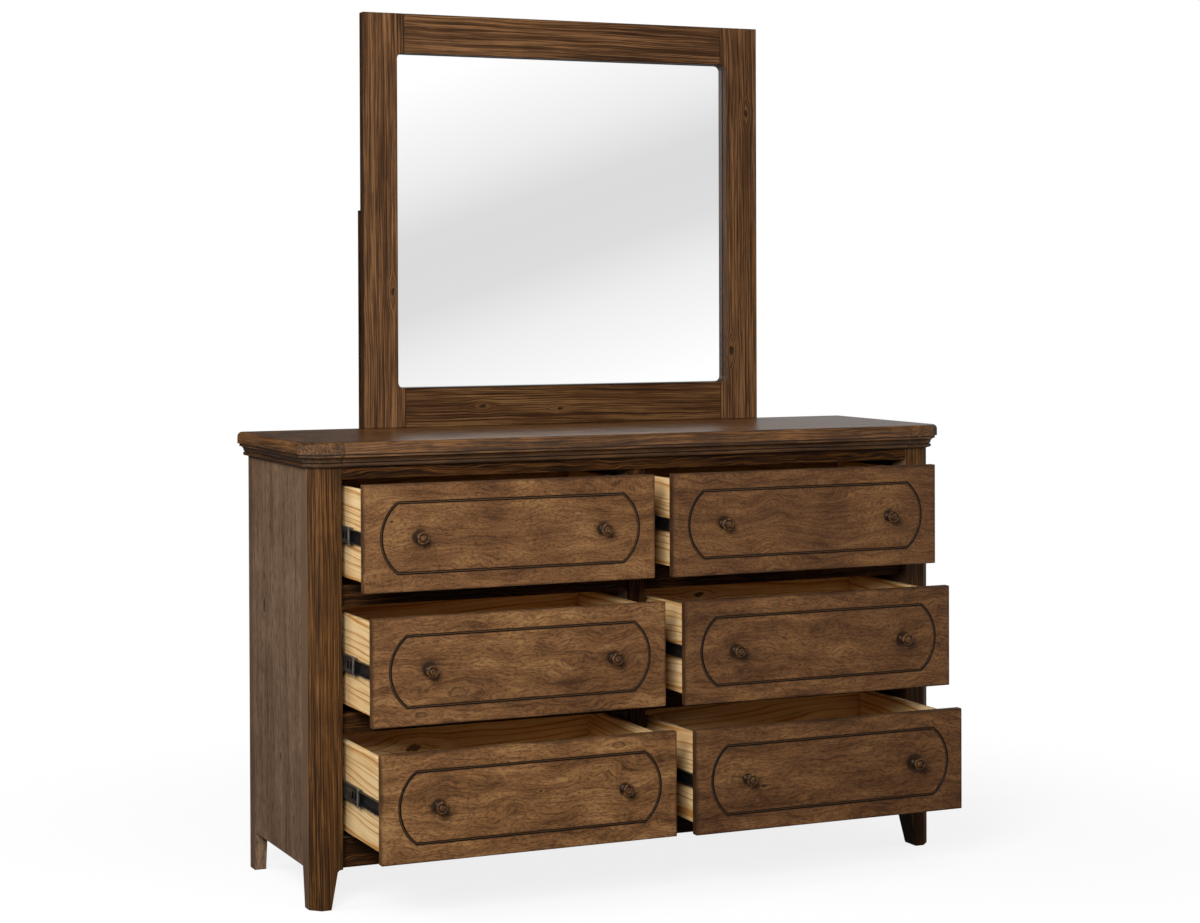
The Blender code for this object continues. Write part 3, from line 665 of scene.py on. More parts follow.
@dataclass(frozen=True)
class PostFinish(WoodFinish):
    """Wood of a post: its side takes the grey glaze of the side boards, partly a painted sheen, its chamfer
    more stain, and its foot painted shade.
    """

    glaze: str = "735d49"
    glaze_and_sheen_mm: tuple[float, float] = (0.1, 0.9)
    glaze_and_sheen_strength: float = 0.62
    chamfer_mm: tuple[float, float] = (0.6, 2.0)
    chamfer_strength: float = 0.38
    foot_shade_height: float = 0.135
    foot_shade_fade: float = 0.06
    foot_shade_strength: float = 0.30

    def stain(self, on: Surface, colour: object) -> bpy.types.NodeSocket:
        """Add the glaze of the sides, partly a painted sheen, the stain of the chamfer and the painted
        shade towards the foot.

        Args:
            on: the surface that is stained.
            colour: its colour so far.

        Returns:
            The stained colour's socket.
        """
        add = on.graph.add
        colour = super().stain(on, colour)
        from_side = add("Math.SUBTRACT", on.board.half.x, add("Math.ABSOLUTE", on.x))
        from_front = add("Math.ADD", on.board.half.y, on.y)
        # The grey of the sides is partly a painted sheen of grazing reflection
        glazed = add(STEP, from_side, *metres(self.glaze_and_sheen_mm), self.glaze_and_sheen_strength, 0.0)
        colour = add(BLEND, glazed, colour, self.glaze)
        inward = add("Math.MINIMUM", from_side, from_front)
        cut = add(STEP, inward, *metres(self.chamfer_mm), 0.0, self.chamfer_strength)
        # Painted shade: the post grows darker towards its foot
        raised = add("Math.ADD", on.z, on.board.half.z)
        low, high = self.foot_shade_height - self.foot_shade_fade, self.foot_shade_height + self.foot_shade_fade
        foot = add(STEP, raised, low, high, self.foot_shade_strength, 0.0)
        return add(BLEND, add("Math.MAXIMUM", cut, foot), colour, self.pore)


@dataclass(frozen=True)
class SideFinish(WoodFinish):
    """Wood of a side, whose rear stile is a narrow board of its own, darker and with a joint line."""

    stile_mm: float = 27.0
    stile_strength: float = 0.28
    joint_mm: float = 1.2
    joint_strength: float = 0.6

    def stain(self, on: Surface, colour: object) -> bpy.types.NodeSocket:
        """Add the rear stile's darker stain and its joint.

        Args:
            on: the surface that is stained.
            colour: its colour so far.

        Returns:
            The stained colour's socket.
        """
        add = on.graph.add
        colour = super().stain(on, colour)
        from_back = add("Math.SUBTRACT", on.board.half.y, on.y)
        beyond = add("Math.SUBTRACT", from_back, self.stile_mm * MM)
        stile = add("Math.MULTIPLY", add("Math.LESS_THAN", beyond, 0.0), self.stile_strength)
        near = add(STEP, add("Math.ABSOLUTE", beyond), 0, self.joint_mm * MM, self.joint_strength, 0.0)
        return add(BLEND, add("Math.MAXIMUM", stile, near), colour, self.pore)


@dataclass(frozen=True)
class KnobFinish(WoodFinish):
    """Wood of a turned knob: stain and painted shade lie dark on its neck under the head, and stain in the
    ring of its face.
    """

    neck_mm: tuple[float, float] = (-4.0, 1.0)
    neck_stain_and_shade: float = 0.85
    ring_shares: tuple[float, float] = (0.50, 0.74)
    ring_fade: tuple[float, float] = (0.3, 0.6)
    ring_stain: float = 0.7

    def stain(self, on: Surface, colour: object) -> bpy.types.NodeSocket:
        """Darken the neck with stain and painted shade, and the ring with stain.

        Args:
            on: the surface that is stained.
            colour: its colour so far.

        Returns:
            The stained colour's socket.
        """
        add = on.graph.add
        neck = add(STEP, on.y, *metres(self.neck_mm), 0.0, self.neck_stain_and_shade)
        reach = on.graph.length(on.x, on.z)
        inner, outer = (share * on.board.half.x for share in self.ring_shares)
        off = add("Math.ABSOLUTE", add("Math.SUBTRACT", reach, (inner + outer) / 2))
        near, far = (share * (outer - inner) for share in self.ring_fade)
        ring = add(STEP, off, near, far, self.ring_stain, 0.0)
        return add(BLEND, add("Math.MAXIMUM", neck, ring), colour, self.pore)


@dataclass(frozen=True)
class FrameFinish(WoodFinish):
    """Wood of the mirror's frame, whose narrow sides are darker than its face."""

    side_strength: float = 0.58
    # A face counts as a side below the first share of facing forward, and as front above the second
    facing: tuple[float, float] = (0.3, 0.8)

    def stain(self, on: Surface, colour: object) -> bpy.types.NodeSocket:
        """Darken the sides that face the glass and the room.

        Args:
            on: the surface that is stained.
            colour: its colour so far.

        Returns:
            The stained colour's socket.
        """
        add = on.graph.add
        colour = super().stain(on, colour)
        facing = add("SeparateXYZ", add("TexCoord", out="Normal"), out="Y")
        aside = add(STEP, add("Math.ABSOLUTE", facing), *self.facing, self.side_strength, 0.0)
        return add(BLEND, aside, colour, self.pore)


# Alder stained brown and glazed: blotchy, with wavy figure, short dark pores and dark edges
FRONT_ALDER = FrontFinish(
    name="alder_front", dark="3f2611", mid="704c2d", light="987147", pore="24150a",
    line_mm=3.2, line_long_mm=26, line_strength=0.07, band_mm=20, band_long_mm=130,
    band_strength=0.32, ring_mm=9, ring_strength=0.12, bend_mm=20, wave_long_mm=150,
    wave_wide_mm=95, pore_mm=2.4, pore_long_mm=8, pore_strength=0.44, pore_low=0.50,
    pore_high=0.57, mottle_mm=90, mottle_strength=0.34, edge_mm=3,
    edge_strength=0.6, roughness=0.48, specular=0.20,
)
# Fronts of the right column, darker and redder: painted shade for the light that falls off towards the
# right
FRONT_ALDER_SHADED = replace(
    FRONT_ALDER, name="alder_front_dark", dark="3a210e", mid="674529", light="8a633d"
)
# Front of the bottom left drawer, the palest of all: painted light
FRONT_ALDER_LIT = replace(
    FRONT_ALDER, name="alder_front_pale", dark="452b15", mid="7a5432", light="a47b4e"
)
# Lit and shaded copies of the front wood, by front, where a front doesn't take the common one
FRONT_LIT_AND_SHADED = {
    ("bottom", "left"): FRONT_ALDER_LIT,
    ("top", "right"): FRONT_ALDER_SHADED,
    ("middle", "right"): FRONT_ALDER_SHADED,
    ("bottom", "right"): FRONT_ALDER_SHADED,
}
# The same wood quarter sawn for the posts: long straight lines of brown and reddish brown
POST_ALDER = PostFinish(
    name="alder_post", dark="301c0a", mid="5d3d1d", light="84592f", pore="1f1004",
    line_mm=2.5, line_long_mm=340, line_strength=0.30, line_edge=0.11, band_mm=13, band_strength=0.24,
    bend_mm=3, pore_mm=1.9, pore_long_mm=90, pore_strength=0.6, mottle_mm=60,
    mottle_strength=0.25, edge_mm=2, edge_strength=0.35, roughness=0.46, specular=0.14,
)
# Rails of the frame behind the drawers, plain and dark: their near black colour is partly painted shade for
# the shadow they lie in
RAIL_ALDER_SHADED = WoodFinish(
    name="alder_rail", dark="140902", mid="2d1807", light="543416", pore="0e0601",
    line_mm=2.6, line_long_mm=150, line_strength=0.36, band_mm=14, band_strength=0.35,
    bend_mm=14, wave_long_mm=170, wave_wide_mm=45, pore_mm=2.2, pore_long_mm=50,
    pore_strength=0.5, roughness=0.52, specular=0.08,
)
# Side boards under the same glaze: greyish brown, the grey partly a painted sheen of the grazing reflection
# on the sides, with fine straight pores and few small knots
SIDE_ALDER = SideFinish(
    name="alder_side", dark="58412f", mid="80654f", light="977b64", pore="3a291d",
    line_mm=4.5, line_long_mm=240, line_strength=0.16, band_mm=36, band_strength=0.30,
    bend_mm=6, pore_mm=3.6, pore_long_mm=26, pore_strength=0.55, pore_low=0.53,
    pore_high=0.60, mottle_mm=90, mottle_strength=0.3, edge_mm=2.5, edge_strength=0.35,
    roughness=0.56, specular=0.12,
)
# Top and its moulding: streaky, with a smoother lacquer that gives a soft sheen, and painted shade in the
# moulding under the nose and in its creases
TOP_ALDER = WoodFinish(
    name="alder_top", dark="2c1908", mid="543619", light="7c5430", pore="1d1005",
    line_mm=2.8, line_long_mm=210, line_strength=0.24, band_mm=16, band_strength=0.36,
    bend_mm=8, pore_mm=2.2, pore_long_mm=40, pore_strength=0.5, mottle_mm=60,
    mottle_strength=0.4, shade_below=-0.0035, hollow_shade_strength=0.50,
    shaded_crevices=(-0.0166, 0.0004), roughness=0.52, polish=0.27, specular=0.36,
)
# Turned knobs of the same wood, where stain soaks into the end grain and darkens it
KNOB_ALDER = KnobFinish(
    name="alder_knob", dark="1f1207", mid="50341d", light="785636", pore="120904",
    line_mm=3, line_long_mm=20, line_strength=0.20, band_mm=8, band_strength=0.3,
    bend_mm=2, pore_strength=0.3, mottle_mm=12, mottle_strength=0.4,
    roughness=0.40, specular=0.16,
)
# Walnut brown frame wood with long, strong grain lines
MIRROR_WALNUT = FrameFinish(
    name="walnut_frame", dark="34200f", mid="5a3d25", light="7e5939", pore="1d1006",
    line_mm=2.8, line_long_mm=420, line_strength=0.25, line_edge=0.12, band_mm=17, band_strength=0.36,
    bend_mm=5, wave_long_mm=320, pore_mm=1.9, pore_long_mm=110, pore_strength=0.6,
    mottle_mm=50, mottle_strength=0.15, edge_mm=1.5, edge_strength=0.4,
    roughness=0.52, specular=0.10,
)
# Its bottom rail is cut from a darker board
MIRROR_WALNUT_DARK = replace(MIRROR_WALNUT, name="walnut_rail", dark="2a1708", mid="4c3018", light="70502f")
# Bare pine of the drawer boxes: cream early wood and narrow golden late wood lines
PINE = WoodFinish(
    name="pine_board", knot="3a1c08", dark="b27c3c", mid="dab884", light="e8d1a3", pore="c19259",
    line_mm=3.5, line_long_mm=300, line_strength=0.12, band_mm=22, band_strength=0.2,
    ring_mm=16, ring_strength=0.32, bend_mm=11, wave_long_mm=460, wave_wide_mm=70, taper=0.04,
    pore_mm=2.2, pore_long_mm=60, pore_strength=0.10, mottle_mm=60, mottle_strength=0.12,
    roughness=0.60, specular=0.2,
)
# Backs of the top drawers, the pine darkened as painted shade for the dark inside of those drawers
PINE_SHADED_BACK = replace(PINE, name="pine_heart", dark="644018", mid="86673c", light="94794f")
# Thin board at the back and inside, unfinished and flat in colour
INNER_BOARD = WoodFinish(
    name="inner_board", dark="6f5d49", mid="8f7b64", light="a8947c", pore="5a4937",
    line_mm=6, line_long_mm=120, line_strength=0.15, band_strength=0.2, bend_mm=14,
    pore_strength=0.3, mottle_mm=40, mottle_strength=0.3, roughness=0.78, specular=0.2,
)


@dataclass(frozen=True)
class SilveredGlass:
    """Float glass with a silver coat behind it: a clear reflection with a faint grey cast."""

    tint: str = "ffffff"
    edge: str = "8b9294"
    edge_mm: float = 3
    # The silver ends this far inside the pane's rim, where the frame's rebate covers it
    covered_mm: float = 8
    edge_strength: float = 0.8
    dust_mm: float = 110
    dust_haze: Change = (0.45, 0.8, 0.0, 0.02)

    def build(self, board: Board) -> bpy.types.Material:
        """Make the material for one pane.

        Args:
            board: place of the pane.

        Returns:
            The material.
        """
        material, graph = new_material("silvered_glass")
        add = graph.add
        place = add("TexCoord", out="Object")
        local = add("VectorMath.SUBTRACT", place, board.centre)
        x, _, z = add("SeparateXYZ", local).node.outputs
        from_side = add("Math.SUBTRACT", board.half.x, add("Math.ABSOLUTE", x))
        from_end = add("Math.SUBTRACT", board.half.z, add("Math.ABSOLUTE", z))
        nearest = add("Math.SUBTRACT", add("Math.MINIMUM", from_side, from_end), self.covered_mm * MM)
        rim = add(STEP, nearest, 0, self.edge_mm * MM, self.edge_strength, 0.0)
        dust = graph.marks(place, (self.dust_mm,) * 3, *FINE)
        colour = add(BLEND, rim, self.tint, self.edge)
        rough = add(STEP, dust, *self.dust_haze)
        inputs = {"Base Color": colour, "Metallic": 1.0, "Roughness": rough}
        add("OutputMaterial", add("BsdfPrincipled", inputs))
        return material


def dress(node: str, material: bpy.types.Material) -> None:
    """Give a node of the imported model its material.

    Args:
        node: name of the node.
        material: the material it gets.
    """
    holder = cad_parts[node]
    for place in holder.material_slots:
        place.link = "DATA"
    for index in range(len(holder.data.materials)):
        holder.data.materials[index] = material


def pick_alone(piece: bpy.types.Object) -> None:
    """Select one piece, make it the active one and deselect all others.

    Args:
        piece: the piece that is worked on next.
    """
    bpy.ops.object.select_all(action="DESELECT")
    bpy.context.view_layer.objects.active = piece
    piece.select_set(True)


def settle(name: str) -> bpy.types.Object:
    """Name the primitive that was just added and put its place in its mesh.

    Args:
        name: name of the piece.

    Returns:
        The piece.
    """
    made = bpy.context.object
    made.name = name
    bpy.ops.object.transform_apply(location=True, rotation=True, scale=True)
    return made


def block(name: str, low: Vector, high: Vector) -> bpy.types.Object:
    """Add a block at its size and place, with nothing else selected.

    Args:
        name: name of the piece.
        low: lowest corner.
        high: highest corner.

    Returns:
        The block's object, at the origin with its place in its mesh.
    """
    bpy.ops.object.select_all(action="DESELECT")
    bpy.ops.mesh.primitive_cube_add(size=1, location=(low + high) / 2, scale=high - low)
    return settle(name)


@contextmanager
def editing(piece: bpy.types.Object) -> Iterator[None]:
    """Open a piece in edit mode and close it again.

    Args:
        piece: the piece that is shaped.
    """
    bpy.context.view_layer.objects.active = piece
    bpy.ops.object.mode_set(mode="EDIT")
    yield
    bpy.ops.object.mode_set(mode="OBJECT")


def pick_faces(piece: bpy.types.Object, test: Callable[[bmesh.types.BMFace], bool]) -> None:
    """Select the faces that pass a test, and no others.

    Args:
        piece: the piece, in edit mode.
        test: tells by place or normal whether a face is wanted.
    """
    bpy.ops.mesh.select_mode(type="FACE")
    bpy.ops.mesh.select_all(action="DESELECT")
    shell = bmesh.from_edit_mesh(piece.data)
    for face in shell.faces:
        face.select_set(test(face))
    bmesh.update_edit_mesh(piece.data)


def pick_edges(piece: bpy.types.Object, test: Callable[[Vector, Vector], bool]) -> None:
    """Select the edges that pass a test, and no others.

    Args:
        piece: the piece, in edit mode.
        test: tells by an edge's middle and direction whether it is wanted.
    """
    bpy.ops.mesh.select_mode(type="EDGE")
    bpy.ops.mesh.select_all(action="DESELECT")
    shell = bmesh.from_edit_mesh(piece.data)
    for edge in shell.edges:
        first, second = (corner.co for corner in edge.verts)
        edge.select_set(test((first + second) / 2, (second - first).normalized()))
    bmesh.update_edit_mesh(piece.data)


def apply_modifier(piece: bpy.types.Object, kind: str, **settings: object) -> None:
    """Add a modifier and apply it.

    Args:
        piece: the piece it is for.
        kind: the modifier's type.
        settings: its properties.
    """
    pick_alone(piece)
    modifier = piece.modifiers.new(kind.lower(), kind)
    for name, value in settings.items():
        setattr(modifier, name, value)
    bpy.ops.object.modifier_apply(modifier=modifier.name)


def cut_out(piece: bpy.types.Object, low: Vector, high: Vector) -> None:
    """Cut a square hole through a piece.

    Args:
        piece: the piece that is cut.
        low: lowest corner of the hole.
        high: highest corner of the hole.
    """
    cutter = block("cutter", low, high)
    apply_modifier(piece, "BOOLEAN", operation="DIFFERENCE", solver="EXACT", object=cutter)
    bpy.data.objects.remove(cutter, do_unlink=True)


def copy_to(
    piece: bpy.types.Object, name: str, place: Vector, way: int = 1, turn: float = 0.0
) -> bpy.types.Object:
    """Copy a piece with its own mesh to another place.

    Args:
        piece: the piece that is copied.
        name: name of the copy.
        place: where the piece's origin comes.
        way: minus one mirrors it from left to right.
        turn: angle it is turned by, seen from above.

    Returns:
        The copy.
    """
    twin = piece.copy()
    twin.data = piece.data.copy()
    twin.name = name
    bpy.context.scene.collection.objects.link(twin)
    stand = Matrix.Translation(place) @ Matrix.Rotation(turn, 4, "Z")
    twin.data.transform(stand @ Matrix.Diagonal((way, 1, 1, 1)))
    if way < 0:
        twin.data.flip_normals()
    return twin


def turned(
    name: str, sides: int, radius: float, projection: float, outline: Outline
) -> bpy.types.Object:
    """Form a round piece ring by ring, standing on the origin and facing the front.

    Args:
        name: name of the piece.
        sides: number of corners of each ring.
        radius: the piece's radius.
        projection: how far it stands out.
        outline: share of the radius and of the projection at each ring.

    Returns:
        The piece.
    """
    (share, height), *rings = outline
    bpy.ops.object.select_all(action="DESELECT")
    bpy.ops.mesh.primitive_circle_add(
        vertices=sides, radius=share * radius, fill_type="NGON", rotation=(math.pi / 2, 0, 0)
    )
    piece = settle(name)
    with editing(piece):
        bpy.ops.mesh.select_mode(type="FACE")
        for next_share, next_height in rings:
            step = (0, -(next_height - height) * projection, 0)
            bpy.ops.mesh.extrude_region_move(TRANSFORM_OT_translate={"value": step})
            bpy.ops.transform.resize(value=(next_share / share,) * 3)
            share, height = next_share, next_height
        bpy.ops.mesh.select_all(action="SELECT")
        bpy.ops.mesh.normals_make_consistent(inside=False)
    return piece


def seat(
    piece: bpy.types.Object, body: str, slot: str, material: bpy.types.Material, *nodes: str
) -> None:
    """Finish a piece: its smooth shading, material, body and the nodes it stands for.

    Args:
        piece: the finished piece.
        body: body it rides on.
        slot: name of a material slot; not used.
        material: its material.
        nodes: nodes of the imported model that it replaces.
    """
    pick_alone(piece)
    bpy.ops.object.shade_smooth_by_angle(angle=SMOOTH_ANGLE)
    apply_modifier(piece, "WEIGHTED_NORMAL", keep_sharp=True)
    piece.data.materials.clear()
    piece.data.materials.append(material)
    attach(piece, body)
    if nodes:
        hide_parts(*nodes)


def eased_copy(node: str, ease_mm: float) -> bpy.types.Object:
    """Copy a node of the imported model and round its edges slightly.

    Args:
        node: name of the node.
        ease_mm: radius of the rounding.

    Returns:
        The copy, with clean faces.
    """
    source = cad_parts[node]
    piece = source.copy()
    piece.data = source.data.copy()
    piece.name = f"eased_{node}"
    for key in list(piece.keys()):
        del piece[key]
    piece.parent = None
    piece.matrix_world = Matrix.Identity(4)
    bpy.context.scene.collection.objects.link(piece)
    pick_alone(piece)
    with editing(piece):
        bpy.ops.mesh.select_all(action="SELECT")
        bpy.ops.mesh.remove_doubles(threshold=WELD)
        bpy.ops.mesh.dissolve_limited(angle_limit=FLAT)
    apply_modifier(
        piece, "BEVEL", width=ease_mm * MM, segments=3, limit_method="ANGLE",
        angle_limit=SHARP_ANGLE, use_clamp_overlap=True,
    )
    return piece


@dataclass(frozen=True)
class DrawerKnob:
    """Turned wooden knob: foot, neck with a collar, and a dished head with a button in it."""

    radius: float = 0.013
    projection: float = 0.025
    steps: int = 48
    # Share of the radius, share of the projection, from the foot to the button
    outline: Outline = (
        (0.80, 0.00), (0.80, 0.03), (0.82, 0.06), (0.79, 0.10), (0.68, 0.14), (0.56, 0.19), (0.47, 0.25),
        (0.43, 0.32), (0.43, 0.39), (0.50, 0.42), (0.58, 0.45), (0.60, 0.47), (0.56, 0.50),
        (0.48, 0.53), (0.52, 0.57), (0.70, 0.62), (0.87, 0.68), (0.97, 0.75), (1.00, 0.81),
        (1.00, 0.87), (0.96, 0.92), (0.88, 0.955), (0.78, 0.965), (0.71, 0.95), (0.66, 0.915),
        (0.60, 0.905), (0.56, 0.925), (0.53, 0.96), (0.46, 0.985), (0.32, 0.998), (0.15, 1.00),
    )

    def build(self) -> bpy.types.Object:
        """Turn the knob."""
        return turned("turned_knob", self.steps, self.radius, self.projection, self.outline)


@dataclass(frozen=True)
class ScrewHead:
    """Domed head of a small screw or nail, with a recess if it is a screw."""

    radius: float
    height: float
    steps: int = 16
    dome: Outline = ((1.0, 0.0), (1.0, 0.35), (0.86, 0.75), (0.60, 0.95), (0.40, 1.0))
    recess: Outline = ((0.30, 1.0), (0.26, 0.4))

    def build(self) -> bpy.types.Object:
        """Form the head."""
        return turned("fastener_head", self.steps, self.radius, self.height, self.dome + self.recess)


@dataclass(frozen=True)
class TelescopicSlide:
    """Moving members of a ball bearing slide, as folded sheet with its stamped details."""

    length: float = 0.350
    sheet: float = 0.0012
    fold: float = 0.0016
    fold_steps: int = 4
    middle_height: float = 0.034
    middle_near: float = 0.002
    middle_far: float = 0.010
    drawer_height: float = 0.026
    drawer_near: float = 0.0042
    drawer_far: float = 0.0126
    window: tuple[float, float] = (0.013, 0.015)
    window_start: float = 0.016
    window_pitch: float = 0.017
    stop_length: float = 0.006
    stop_height: float = 0.0385
    stop_start: float = 0.0035
    stop_near: float = 0.0006
    stop_far: float = 0.0001
    stop_cuts: int = 9
    stop_ease: float = 0.00015
    lip_length: float = 0.005
    lip_start: float = 0.8
    hole: float = 0.0045
    hole_start: float = 0.012

    def channel(self, name: str, near: float, far: float, height: float, way: int) -> bpy.types.Object:
        """Fold a channel along the slide, open on one side and at both ends.

        Args:
            name: name of the piece.
            near: its side that is nearer to the mounting face.
            far: its other side.
            height: its height.
            way: one if it is open on the far side, minus one on the near side.

        Returns:
            The channel, its mounting face on the origin's plane.
        """
        spare = 2 * self.fold
        low = Vector((near, -spare, -height / 2))
        high = Vector((far, self.length + spare, height / 2))
        piece = block(name, low, high)
        open_side = far if way > 0 else near
        web_side = near if way > 0 else far
        with editing(piece):
            pick_edges(piece, lambda middle, run: abs(run.y) > ALIGNED and abs(middle.x - web_side) < NEAR)
            bpy.ops.mesh.bevel(offset=self.fold, segments=self.fold_steps, affect="EDGES")
            pick_faces(piece, lambda face: abs(face.calc_center_median().x - open_side) < NEAR)
            bpy.ops.mesh.inset(thickness=self.sheet)
            step = (-way * (far - near - self.sheet), 0, 0)
            bpy.ops.mesh.extrude_region_move(TRANSFORM_OT_translate={"value": step})
            for end, side in ((0.0, -1), (self.length, 1)):
                bpy.ops.mesh.select_all(action="SELECT")
                bpy.ops.mesh.bisect(
                    plane_co=(0, end, 0), plane_no=(0, side, 0), use_fill=True, clear_outer=True
                )
            bpy.ops.mesh.select_all(action="SELECT")
            bpy.ops.mesh.normals_make_consistent(inside=False)
        return piece

    def middle_member(self) -> bpy.types.Object:
        """Form the middle member with its two windows.

        Returns:
            The member.
        """
        piece = self.channel("middle_member", self.middle_near, self.middle_far, self.middle_height, 1)
        length, height = self.window
        for index in range(2):
            start = self.window_start + index * self.window_pitch
            cut_out(
                piece,
                Vector((self.middle_near - MM, start, -height / 2)),
                Vector((self.middle_near + 2 * self.sheet, start + length, height / 2)),
            )
        return piece

    def end_stop(self) -> bpy.types.Object:
        """Form the middle member's stamped end: an upright bar with a lip at its top and bottom.

        Returns:
            The bar, which lies on the member's outer face.
        """
        near, far = self.middle_near - self.stop_near, self.middle_near - self.stop_far
        low = Vector((near, self.stop_start, -self.stop_height / 2))
        high = Vector((far, self.stop_start + self.stop_length, self.stop_height / 2))
        piece = block("end_stop", low, high)
        with editing(piece):
            pick_faces(piece, lambda face: face.normal.y < -ALIGNED)
            bpy.ops.mesh.subdivide(number_cuts=self.stop_cuts)
            limit = self.stop_height / 2 * self.lip_start
            pick_faces(
                piece, lambda face: face.normal.y < -ALIGNED and abs(face.calc_center_median().z) > limit
            )
            step = (0, -self.lip_length, 0)
            bpy.ops.mesh.extrude_region_move(TRANSFORM_OT_translate={"value": step})
            bpy.ops.mesh.select_all(action="SELECT")
            bpy.ops.mesh.remove_doubles(threshold=WELD)
            bpy.ops.mesh.dissolve_limited(angle_limit=FLAT)
        apply_modifier(piece, "BEVEL", width=self.stop_ease, segments=2, limit_method="ANGLE")
        return piece

    def drawer_member(self) -> bpy.types.Object:
        """Form the drawer member with a square hole near its front.

        Returns:
            The member.
        """
        piece = self.channel("drawer_member", self.drawer_near, self.drawer_far, self.drawer_height, -1)
        cut_out(
            piece,
            Vector((self.drawer_far - 2 * self.sheet, self.hole_start, -self.hole / 2)),
            Vector((self.drawer_far + MM, self.hole_start + self.hole, self.hole / 2)),
        )
        return piece


class Workbench:
    """Pieces that are modelled once and copied, and the steels they share."""

    def __init__(self) -> None:
        """Model the pieces and make the steels."""
        slide = TelescopicSlide()
        self.knob = DrawerKnob().build()
        self.middle = slide.middle_member()
        self.stop = slide.end_stop()
        self.member = slide.drawer_member()
        self.screw = ScrewHead(3.6 * MM, 1.2 * MM).build()
        self.nail = ScrewHead(2.2 * MM, 0.6 * MM, recess=()).build()
        self.zinc = BLACK_ZINC.build()
        self.scuffed = SCUFFED_ZINC.build()
        self.rubbed = RUBBED_ZINC.build()
        self.bright = SCREW_ZINC.build()

    def clear(self) -> None:
        """Remove the masters once everything is copied."""
        for master in (self.knob, self.middle, self.stop, self.member, self.screw, self.nail):
            bpy.data.objects.remove(master, do_unlink=True)


@dataclass
class Case:
    """Case of the dresser, and the mirror's boards that keep their form."""

    bench: Workbench
    ease_mm: float = 1.2
    slide_inner: float = 0.6535
    slide_outer: float = 0.6627
    partition_face: float = 0.0181
    nail_pitch: float = 0.12
    nail_inset: float = 0.009
    plain_boards: tuple[tuple[WoodFinish, Grain, tuple[str, ...]], ...] = (
        (TOP_ALDER, Grain.ALONG_X, ("top_panel", "cornice_front")),
        (TOP_ALDER, Grain.ALONG_Y, ("top_end_left", "top_end_right")),
        # Rails, apron, stile and supports take the alder darkened with painted shade
        (RAIL_ALDER_SHADED, Grain.ALONG_X, ("top_rail", "drawer_rail_upper", "drawer_rail_lower", "apron")),
        (RAIL_ALDER_SHADED, Grain.ALONG_Z, ("centre_stile", "mirror_support_left", "mirror_support_right")),
        (INNER_BOARD, Grain.ALONG_X, ("bottom_panel", "mirror_backing")),
        (INNER_BOARD, Grain.ALONG_Z, ("back_panel",)),
    )
    side_knots: tuple[Knot, ...] = (
        Knot(0.183, 0.095, 0.0035), Knot(0.123, 0.095, 0.006), Knot(-0.18, -0.02, 0.004)
    )

    def build(self) -> None:
        """Give every piece of the case its own board of wood."""
        for side in SIDES:
            name = f"front_post_{side}"
            post = eased_copy(name, self.ease_mm)
            seat(post, "case", "case_wood", POST_ALDER.build(Board.of_node(name, Grain.ALONG_Z)), name)
            name = f"side_panel_{side}"
            board = Board.of_node(name, Grain.ALONG_Z_IN_SIDE, self.side_knots)
            dress(name, SIDE_ALDER.build(board, (self.slide_inner, self.slide_outer)))
        name = "centre_partition"
        board = Board.of_node(name, Grain.ALONG_Z_IN_SIDE)
        dress(name, INNER_BOARD.build(board, (self.partition_face, 1.0)))
        for finish, grain, names in self.plain_boards:
            for name in names:
                dress(name, finish.build(Board.of_node(name, grain)))
        self.nail_back()
        LOG.info("case: posts, sides, frame, top and back")

    def nail_back(self) -> None:
        """Nail the back panel on along its sides and ends."""
        low, high = corners("back_panel")
        inset = self.nail_inset
        places = []
        across = round((high.x - low.x) / self.nail_pitch)
        for index in range(across + 1):
            x = low.x + inset + (high.x - low.x - 2 * inset) * index / across
            places += [(x, low.z + inset), (x, high.z - inset)]
        upward = round((high.z - low.z) / self.nail_pitch)
        for index in range(1, upward):
            z = low.z + inset + (high.z - low.z - 2 * inset) * index / upward
            places += [(low.x + inset, z), (high.x - inset, z)]
        for index, (x, z) in enumerate(places):
            place = Vector((x, high.y, z))
            nail = copy_to(self.bench.nail, f"back_nail_{index:02d}", place, turn=math.pi)
            seat(nail, "case", "slide_steel", self.bench.bright)


# Small knots of the fronts, each at its place along and across the board
FRONT_KNOTS: dict[tuple[str, str], tuple[Knot, ...]] = {
    ("top", "left"): (Knot(-0.261, 0.034, 0.002), Knot(0.12, -0.085, 0.004, tight=True)),
    ("top", "right"): (Knot(0.16, 0.09, 0.003, tight=True),),
    ("middle", "left"): (
        Knot(-0.2465, 0.0615, 0.006, tight=True), Knot(-0.1414, -0.0478, 0.009, tight=True),
        Knot(-0.2167, -0.0873, 0.006, tight=True), Knot(-0.1865, 0.0558, 0.003, tight=True),
    ),
    ("middle", "right"): (Knot(0.10, 0.02, 0.0022), Knot(-0.05, -0.04, 0.0022)),
    ("bottom", "left"): (Knot(0.017, 0.011, 0.0024), Knot(0.19, 0.09, 0.005, tight=True)),
    ("bottom", "right"): (Knot(-0.163, -0.019, 0.0024), Knot(0.21, -0.08, 0.004, tight=True)),
}
# Knots of the drawers' backs
BACK_KNOTS: dict[tuple[str, str], tuple[Knot, ...]] = {
    ("bottom", "left"): (Knot(-0.109, 0.040, 0.008),),
    ("middle", "right"): (Knot(-0.090, 0.0655, 0.006),),
}


